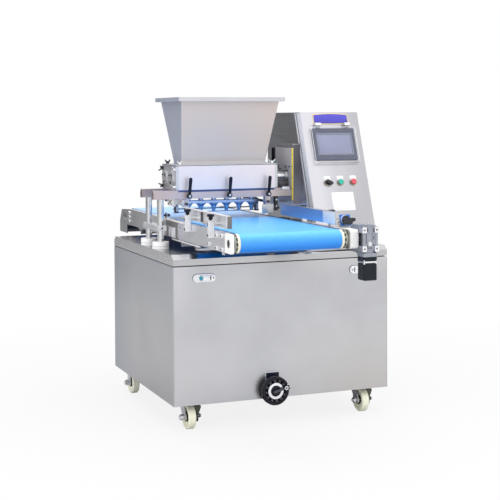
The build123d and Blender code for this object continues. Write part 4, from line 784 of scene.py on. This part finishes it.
# Handwheel, crank, and a black plate behind the shaft that paints the shade in the door's notch, with pale
# strips as painted highlights on its edges
hand = at((hand_x, -357, hand_z), front)
lobe_spots = [hand @ moved(41.2 * cos(turn), 41.2 * sin(turn)) for turn in turns(12, 0.1)]
hand_ring = turned([(34, 0), (33.8, 2.2), (32.8, 3.2), (23.2, 3.2), (22.2, 2.4), (22, 0)], 64)
piece("handwheel_ring", [bright], [(hand_ring, hand)], "handwheel")
piece("handwheel_lobes", [wheel_black, crank_grey], [
    (turned([(19.5, 0), (19.5, 1.8), (18, 2.8), (5, 2.8), (4, 2), (0, 2)], 48), hand),
    (turned([(5.4, -10), (5.4, 1.6), (4.2, 3), (0, 3.4)], 20), lobe_spots, 1),
], "handwheel")
crank = radians(16)
radial = Vector((cos(crank), 0, sin(crank)))
cross = Vector((-sin(crank), 0, cos(crank)))
hinge = Vector((hand_x, -366.8, hand_z)) + radial * 53.5
cheeks = [at(hinge + cross * side * 8.8 + Vector((0, 2, 0)), cross * side, radial) for side in (-1, 1)]
rivets = [at(hinge + cross * side * 10.2, cross * side, radial) for side in (-1, 1)]
piece("crank_clevis", [bright], [
    (flat(13, 9, 3.5, 1.6, 0.6), cheeks),
    (turned([(3.4, 0), (3.2, 0.9), (1.5, 1.3), (0, 1.3)], 20), rivets),
], "handwheel")
eyelet = turned([(8, 5.3), (8, 7), (7.2, 7.8), (4.6, 7.8), (3.8, 7), (3.8, 5.3)], 32)
piece("crank_eyelet", [bright], [(eyelet, at(hinge - radial * 10.4, front))], "crank_handle")
piece("lift_shaft_notch_shade", [deep_black, lid_light], [
    (flat(70, 64, 1, 1), (hand_x, -316, 195, front)),
    (flat(60, 5, 0.5, 0.4, 0, 2), (hand_x, -317, 218.8, front), 1),
    (flat(3.4, 56, 0.5, 0.4, 0, 2), (-82.4, -317, 188, front), 1),
])

# Casters: brake pads, axle nuts and the black dust covers in the wheels
brake_pad = slab([(0.8, 0.8), (12.5, 0.8), (14.5, 22), (9, 42), (3, 46), (0.8, 44)], 0, 0.7, 0.2)
axle_nut = turned([(13, 0), (13, 2), (11.2, 2.1), (11, 2.2, 6), (11, 9, 6), (10, 10), (7.4, 10.4), (7, 12.6),
                   (5, 14.4), (0, 15.2)])
small_nut = turned([(6.1, 0), (7.6, 0, 6), (7.6, 3.4, 6), (7, 4), (6.1, 4)])
rear_nut = turned([(6.1, 0), (9, 0, 6), (9, 5, 6), (8.2, 5.8), (6.1, 5.8)])
dust_cover = turned([(15.1, 0), (15.1, 7.2), (16.5, 8), (18.4, 8), (19.6, 7), (20.4, 0)], 48)
for corner, x, y in casters[:2]:
    pad_spots = (x + 23, -252, 28.7, front)
    piece(f"{corner}_brake_pad", [black], [(brake_pad, pad_spots)], f"{corner}_brake_pedal")
    piece(f"{corner}_axle_bolts", [bright, black], [
        (axle_nut, (x - 28.5, y, axle_z, left)),
        (small_nut, (x + 42.6, y, axle_z, right), 1),
    ], f"{corner}_fork")
piece("rear_axle_bolts", [bright], [
    (axle_nut, ((-448.5, 391.5), rear_axle_y, axle_z, left)),
    (rear_nut, ((-398.4, 441.6), rear_axle_y, axle_z, right)),
])
for corner, x, y in casters:
    cover_spots = spots(x - 8, y, axle_z, left) + spots(x + 8, y, axle_z, right)
    piece(f"{corner}_dust_covers", [black], [(dust_cover, cover_spots)], f"{corner}_wheel")

# Clamp knobs: a lobed head on a narrow neck
lobed = []
for turn in turns(64):
    reach = 13.3 + 0.8 * cos(8 * turn)
    lobed.append((reach * cos(turn), reach * sin(turn)))
for side, x in zip(("left", "right"), both(knob_out)):
    for end, y in zip(("front", "rear"), post_ys):
        stand = at((x, y, 0), top)
        knob = piece(f"lobed_knob_{side}_{end}", [deep_black], [
            (turned([(0, 867.4), (3.95, 867.4), (3.95, 877), (8.5, 877), (8.5, 880), (7.4, 881), (8.2, 885),
                     (11.5, 888)], 32), stand),
            (slab(lobed, 887.5, 897, 2.4), stand),
            (turned([(6, 896.9), (5.6, 897), (0, 897)]), stand),
        ], f"{side}_{end}_knob")
        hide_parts(f"{side}_{end}_knob")

# Head: screws, dark lines painted as shade at the hopper's flange and the beam's step, and lift scale
set_screw = socket_screw(3.9, 5)
piece("link_screws", [black], [
    (set_screw, (column_x, -61, 803, front)),
    (set_screw, (column_x, 139, 803, back)),
], "head")
wing_hub = turned([(9, 0), (9, 1.6), (6, 1.8), (5.2, 9), (4, 11), (0, 11.6)])
wing = slab([(3.5, 2.5), (9, 4.5), (14.5, 10), (16.5, 15), (15, 17.5), (12, 17), (8, 12.5), (3.5, 9.5)],
            -1.6, 1.6, 0.7)
wing_spots = []
for y, number in ((123, 0), (-45, 1)):
    for z, turn in ((1047, 0.7), (973, -0.5)):
        wing_spots.append((at((head_left, y, z), left) @ spun(turn), number))
        wing_spots.append((at((head_right, y, z), right) @ spun(0.4), 0))
for x, turn in ((-357, 0.5), (63, -0.6)):
    for y, number in zip(column_ys, (1, 0)):
        wing_spots.append((at((x, y, 1066), top) @ spun(turn), number))
rows = []
for spot, number in wing_spots:
    two = [spot @ (spun(turn) @ spun(pi / 2, "X")) for turn in (0, pi)]
    rows += [(wing_hub, spot, number), (wing, two, number)]
piece("head_wing_screws", [black, bright], rows, "head")
round_cap = [(y + 21 * cos(turn), roller_z + 21 * sin(turn)) for y in roller_ys for turn in turns(3, 0.5)]
cap_spots = (cap_left, roller_ys, roller_z, left)
piece("bearing_cap_screws", [bright, dark_steel], [
    (socket_screw(4, 3.4), [at((cap_left, y, z), left) for y, z in round_cap], 1),
    (socket_screw(4, 3.4), [at((cap_right, y, z), right) for y, z in round_cap]),
    (turned([(13, 0), (13, 1.4), (12, 2), (6, 2), (5, 1), (0, 1)], 40), cap_spots),
    (turned([(13, 0), (16.2, 0), (16.2, 0.6), (13, 0.6)], 40), cap_spots, 1),
    (socket_screw(3.6, 3.2), ((-320, -200, -94, 26), -1, 947, front)),
], "head")
long_seam = flat(461, 1.8, 0.4, 0.35, 0.1, 2)
short_seam = flat(180, 1.8, 0.4, 0.35, 0.1, 2)
seam_z = 1062.2
# Black lines painted as the shade under the hopper's flange, and a blue strip painted as the shade in the
# beam's step under the housing
piece("hopper_seam_shade", [black, gap_shade_blue], [
    (long_seam, (line_x, -57, seam_z, front)),
    (long_seam, (line_x, 135, seam_z, back)),
    (short_seam, (head_left, 39, seam_z, left)),
    (short_seam, (head_right, 39, seam_z, right)),
    (flat(438, 7.4, 0.8, 0.4, 0.1, 2), (line_x, -51, 955, front), 1),
], "head")
rule = flat(6.6, 229, 1, 0.7, 0.3)
piece("lift_rule", [rule_yellow], [(rule, (152.5, -61, 1015.5, front))], "head")

# Cutter: drive block, guard plate and clips
piece("cutter_drive", [nylon, bright, dark_steel], [
    (flat(190, 26, 3, 5, 1), (-344.8, 39, 906, left), 1),
    (flat(76, 34, 5, 14, 1.5), (bar_x, 70, 902, left)),
    (socket_screw(4, 2.4), (block_x, (90, 50), (911, 895), left), 2),
    (turned([(8, 0), (7.6, 1), (6, 1.2), (5.6, 0.4), (0, 0.4)], 32), (block_x, 70, 903, left), 2),
    (hex_bolt(5, 4.6), (bar_x, column_ys, 906, left), 1),
    (pin(2.6, 392, 20), (-337, 112, 868, right), 2),
    (flat(8, 62, 2, 5, 0.8), ((-318, 50), 115, 893, front), 2),
], "head")
piece("cutter_guard", [steel, bright, black], [
    (flat(55, 39, 3, 2, 0.5), (39, -56, 869.5, front)),
    (flat(22, 39, 3, 2, 0.5), (64.5, -47, 869.5, right)),
    (flat(24, 26, 2, 1.9, 0.4), (38.8, -44, 887, top)),
    (button_screw(3.8, 2.2), ((32, 46), -58, 882, front), 1),
    (flat(15, 18, 3, 62, 2), (guard_x, -44, 861, top), 2),
    (flat(26, 9, 2, 10, 1.5), (guard_x, -53, 868, top), 2),
    (socket_screw(4.2, 3), (guard_x, -53, (878, 908), front), 1),
], "head")
clip_xs = both(185.8)
piece("cutter_clips", [alloy, bright], [
    (flat(9, 27, 2, 1.4, 0.5), (clip_xs, 68, 873, front)),
    (socket_screw(3.2, 2.4), (clip_xs, 66.6, (865, 881), front), 1),
    (turned([(5.2, 0), (5.2, 1.5), (4.6, 1.7), (4.6, 4.4), (5, 4.8), (4.4, 5.4), (2, 5.4), (2, 7), (0, 7.2)]),
     paired(191.8, 81, 856), 1),
], "wire_cutter")

# Lift plate, and dark sheets that paint shade on the fronts and tops of the lift rails
piece("lift_plate_face", [plate_alloy, post_alloy, dark_steel, deep_black], [
    (flat(198, 98, 2, 0.8, 0.3), (plate_x, 39, 1081.5, left)),
    (flat(33, 73, 1, 0.8, 0.3), (plate_x, (-43.5, 121.5), 996, left)),
    (flat(46, 73, 1, 0.8, 0.3), (plate_x, 39, 996, left)),
    (flat(7.6, 12, 1, 34, 0.8), (106, -55, 957.1, right), 1),
    (socket_screw(4.2, 3.2), (plate_face_x, (-40, 0, 80, 118), 1049, left), 2),
    (pin(2.6, 55, 16), (92.5, -24, (1030.5, 990.5, 970), right), 2),
    (flat(20, 98, 1, 0.5, 0.2), (plate_face_x, 128, 1081.5, left), 3),
], "head")
rail_shade_sheet = flat(34, 258, 2, 1, 0.3)
piece("lift_rail_shade_sheets", [painted_rail_shade], [
    (rail_shade_sheet, (lift_rail_x, -49, 1016, front)),
    (rail_shade_sheet, (lift_rail_x, 127, 1016, back)),
    (flat(35.4, 25.8, 1, 0.8, 0.3), (lift_rail_x, (-36, 114), 1147.4, top)),
])

# Clamp levers and the couplings of the roller shafts
grip_lean = radians(5)
for side, x in (("left", -327), ("middle", line_x), ("right", 33)):
    hub = (x, -87.3, 935, front)
    grip = at((x, -81.3, 935), (sin(grip_lean), 0, cos(grip_lean)), front)
    piece(f"lever_cap_{side}", [bright, deep_black, dark_steel], [
        (turned([(7.4, 0), (7.2, 1), (6, 1.5), (4.4, 1.5)], 32), hub, 2),
        (turned([(4.5, 1), (4.3, 1.7), (3.4, 2), (2.2, 2, 6), (2.2, 1.2, 6), (0, 1.1)], 32), hub),
        (turned([(5.6, 9.6), (6.2, 11), (7.4, 68), (7.2, 73), (5.8, 76.6), (3.2, 78.2), (0, 78.6)], 32),
         grip, 1),
    ], f"clamp_lever_{side}")
sleeve = turned([(12.6, 0), (13.4, 0), (13.9, 0.6), (13.9, 16), (13.2, 16.6), (13.2, 23), (13.9, 23.6),
                 (13.9, 38.4), (13.4, 39), (12.6, 39)], 48)
for end, y in zip(("front", "rear"), roller_ys):
    piece(f"shaft_coupling_{end}", [bright, dark_steel], [
        (sleeve, (101, y, roller_z, right)),
        (socket_screw(3, 1.6), ((106, 134), y, 1024, top), 1),
    ], f"feed_roller_{end}")

# Tower: screen, cover rim, blank plates, blank badge and the isolator's face
screen_frame = ((0, 46.6, 172, 7), (0, -46.6, 172, 7), (-82.5, 0, 7, 86.2), (82.5, 0, 7, 86.2))
cover_frame = ((0, 82.2, 208, 1.8, 0), (0, -82, 208, 2.6, 1),
               (-105.2, 0, 2.4, 160, 2), (105.2, 0, 2.4, 160, 2))
rows = [(flat(157.4, 87.4, 1, 0.8, 0.3), on_face(panel_across, panel_rise, 6.8))]
for across, rise, width, height in screen_frame:
    spot = on_face(panel_across + across, panel_rise + rise, 7.9)
    rows.append((flat(width, height, 1, 0.5, 0.2, 2), spot, 1))
piece("screen_glass", [screen, frame_glass], rows)
# The clear cover's edges as strips: pale at the top and sides as painted highlights, darker grey along the
# bottom as painted shade
rows = []
for across, rise, width, height, number in cover_frame:
    spot = on_face(panel_across + across, cover_rise + rise, 14.25)
    rows.append((flat(width, height, 0.8, 0.5, 0.2, 2), spot, number))
piece("cover_rim", [rim_clear, hinge_grey, lid_light], rows, "hmi_cover")
legend = []
for step in range(-7, 8):
    turn = radians(10 * step)
    legend.append((16.4 * sin(turn), 16.4 * cos(turn)))
legend += [(15.5, 25), (14.5, 27), (12.5, 28), (-12.5, 28), (-14.5, 27), (-15.5, 25)]
hinges = (panel_across - 70, panel_across + 70)
piece("blank_plates", [white_plate, hinge_grey], [
    (slab(legend, 0, 1.2, 0.3), [on_face(across, 280.5) for across in (-56.4, 5, 66.4)]),
    (flat(105, 82, 2, 0.6, 0.2), on_face(5.5, 194)),
    (flat(25, 12, 2, 1.8, 0.8), [on_face(across, 542, 14) for across in hinges]),
    (slab([(-15, -8), (11, -8), (13, 8), (-12, 8)], 0, 1.2, 0.4),
     [on_face(across, 523) for across in hinges], 1),
])
steps = [step / 12 for step in range(-12, 13)]
rows = []
for inset, low, high, number in ((0, 0, 1.6, 1), (3.2, 1.5, 2, 0)):
    half = 84 - inset
    outline = [(half * step, -21.5 + inset - 3.5 * (1 - step * step)) for step in steps]
    outline += [(half * step, 20.5 - inset + 5 * (1 - step * step)) for step in steps[::-1]]
    rows.append((slab(outline, low, high, 0.3), on_face(3, 571), number))
piece("blank_badge", [badge_blue, gold], rows)
dial = on_face(0, 110)
piece("isolator_face", [blue_plate, white_plate], [
    (turned([(24.3, 0, 4), (24.3, 3.6, 4), (23.8, 4.15, 4), (6, 4.15), (6, 4.02)], 64), dial),
    (turned([(18.7, 4.1), (18.9, 5.2), (21.4, 5.2), (22, 4.1)], 64), dial, 1),
])

# Edges of the tower's lid, as start, width and material: light strips painted as highlights beside a dark
# seam; a dark grey plate painting the shade inside the left guide's open end, and a light plate on the right
# guide's face
rows = []
for x, outward in tower_sides:
    flip = outward[0]
    for start, width, number in ((2, 40, 0), (43.5, 4.5, 1), (48.8, 15, 0)):
        outline = [(start, 3), (start + width, 3), (start + width + 197, 565), (start + 197, 565)]
        outline = [(flip * (y + tower_foot_y), z + deck_z) for y, z in outline]
        rows.append((slab(outline[::flip], 0, 0.5, 0.15), (x, 0, 0, outward), number))
piece("lid_edges", [lid_light, dark_steel], rows)
piece("left_guide_end", [end_grey, guide_alloy, dark_paint_and_shade], [
    (flat(21.4, 46.4, 1.5, 1.4, 0.4), (line_x - 224, -671, guide_z, front)),
    (flat(2.6, 46.8, 0.8, 1.8, 0.3, 2), (line_x - 233.7, -671, guide_z, front), 1),
    (flat(9, 40, 1, 6, 0.6), (line_x - 217, -348, 870, left), 2),
], "left_guide")
piece("right_guide_face", [guide_alloy], [
    (flat(112, 46, 1, 0.8, 0.25), (line_x + 213, -614.5, guide_z, left)),
], "right_guide")

# Service panels with louvres, and the screws of the panels and the lid
louvre = slab([(-75, -6), (75, -6), (72, 5), (-72, 5)], 0, 5, 3)
backs = (((0, 565, 400), 640, 400, 7, (-170, 170)), ((tower_x, 321, 1000), 225, 460, 9, (0,)))
louvre_pitch, screw_inset = 22, 14
rows, studs = [], []
for middle, width, height, count, spans in backs:
    face = at(middle, back)
    rises = [(row - (count - 1) / 2) * louvre_pitch for row in range(count)]
    rows.append((flat(width, height, 8, 1.6, 0.6), face))
    rows.append((louvre, [face @ moved(span, rise, 1.4) for span in spans for rise in rises]))
    across, up = width / 2 - screw_inset, height / 2 - screw_inset
    stud_spots = [face @ moved(x, y, 1.6) for x in (-across, 0, across) for y in (-up, up)]
    studs.append((button_screw(4.4, 2.6), stud_spots))
piece("service_panels", [steel], rows)
for rise in (90, 300, 510):
    for x, outward in tower_sides:
        spot = (x, tower_foot_y + rise * face_up[1] + 24, deck_z + rise * face_up[2], outward)
        studs.append((button_screw(4, 2.2), spot))
piece("panel_screws", [bright], studs)


# Stage, light and camera, in metres

def shown(tree, share, first, second, output):
    """Brings a mix of two shaders to the tree's output."""
    pick = node(tree, "MixShader")
    feed(tree, pick, Fac=share)
    tree.links.new(first, pick.inputs[1])
    tree.links.new(second, pick.inputs[2])
    tree.links.new(pick.outputs["Shader"], tree.nodes[output].inputs["Surface"])


floor = bpy.data.meshes.new("floor")
floor.from_pydata([(-9, -9, 0), (9, -9, 0), (9, 9, 0), (-9, 9, 0)], [], [(0, 1, 2, 3)])
linked("floor", floor)
paper, tree, shader = graph("studio_floor")
settle(shader, Roughness=0.9, Specular_IOR_Level=0.1)
glow = node(tree, "Emission", Strength=1)
seen = node(tree, "LightPath").outputs
place = node(tree, "TexCoord").outputs["Object"]
tone = node(tree, "ValToRGB")
stops = tone.color_ramp.elements
for reach in (0.35, 0.65):
    stops.new(reach)
for stop, level in zip(stops, (0.78, 0.545, 0.575, 0.45)):
    stop.color = (level, level, level, 1)
feed(tree, tone, Fac=spread(tree, split(tree, place)["Y"], 0, 1, -3, 7))
feed(tree, shader, Base_Color=tone.outputs["Color"])
away = node(tree, "VectorMath", operation="LENGTH")
tree.links.new(place, away.inputs[0])
far = spread(tree, away.outputs["Value"], 0.86, 1, 0.9, 2.6)
share = reckon(tree, "MULTIPLY", seen["Is Camera Ray"], far)
shown(tree, share, shader.outputs["BSDF"], glow.outputs["Emission"], "Material Output")
floor.materials.append(paper)

# World: brighter to the right, in front and above, plain white to the camera
world = bpy.data.worlds.new("studio")
bpy.context.scene.world = world
world.use_nodes = True
tree = world.node_tree
sky = tree.nodes["Background"]
paper_white = node(tree, "Background")
for made in (sky, paper_white):
    settle(made, Color=(1, 1, 1, 1))
way = split(tree, node(tree, "TexCoord").outputs["Generated"])
slopes = (("X", 0.255, 0.655), ("Y", 0.356, -0.356), ("Z", -0.8, 0.8))
levels = [spread(tree, way[axis], low, high, -1, 1) for axis, low, high in slopes]
feed(tree, sky, Strength=joined(tree, "ADD", levels))
seen = node(tree, "LightPath").outputs
clear_way = reckon(tree, "MAXIMUM", seen["Is Camera Ray"], seen["Is Transmission Ray"])
rightward = spread(tree, way["X"], 0.1, 1, -0.05, 0.3)
backward = spread(tree, way["Y"], 0, 1, 0.2, 0.7)
mirrored = reckon(tree, "MULTIPLY", seen["Is Glossy Ray"], reckon(tree, "MULTIPLY", rightward, backward))
share = reckon(tree, "MAXIMUM", clear_way, mirrored)
shown(tree, share, sky.outputs["Background"], paper_white.outputs["Background"], "World Output")


def lamp(name, place, aim, size, power):
    """A square soft light aimed at a point."""
    data = bpy.data.lights.new(name, "AREA")
    data.size = size
    data.energy = power
    made = linked(name, data)
    made.location = place
    made.visible_glossy = False
    made.rotation_euler = (Vector(aim) - Vector(place)).to_track_quat("-Z", "Y").to_euler()


heart = (0, 0, 0.8)
lamp("key", (-2.6, -3.4, 3.2), heart, 2.4, 22)
lamp("fill", (3.2, -2.6, 2), heart, 2.4, 24)
lamp("side", (-3.2, -1.3, 0.7), (-0.4, 0.2, 0.25), 1.6, 29)
lamp("overhead", (0, 0.2, 3.6), heart, 2.6, 70)

camera = bpy.data.cameras.new("camera")
camera.sensor_width = 36
camera.lens = 86.7
camera.shift_y = -0.1988
viewpoint = (-1.9454, -4.8619, 1.2625)
yaw, pitch, roll = radians(21.595), radians(-1.557), radians(-0.275)
forward = Vector((sin(yaw) * cos(pitch), cos(yaw) * cos(pitch), sin(pitch)))
level = Vector((cos(yaw), -sin(yaw), 0))
upward = level.cross(forward)
across = level * cos(roll) + upward * sin(roll)
above = upward * cos(roll) - level * sin(roll)
viewer = linked("camera", camera)
viewer.matrix_world = Matrix.Translation(viewpoint) @ Matrix((across, above, -forward)).transposed().to_4x4()
bpy.context.scene.camera = viewer
bpy.context.scene.view_settings.view_transform = "Standard"
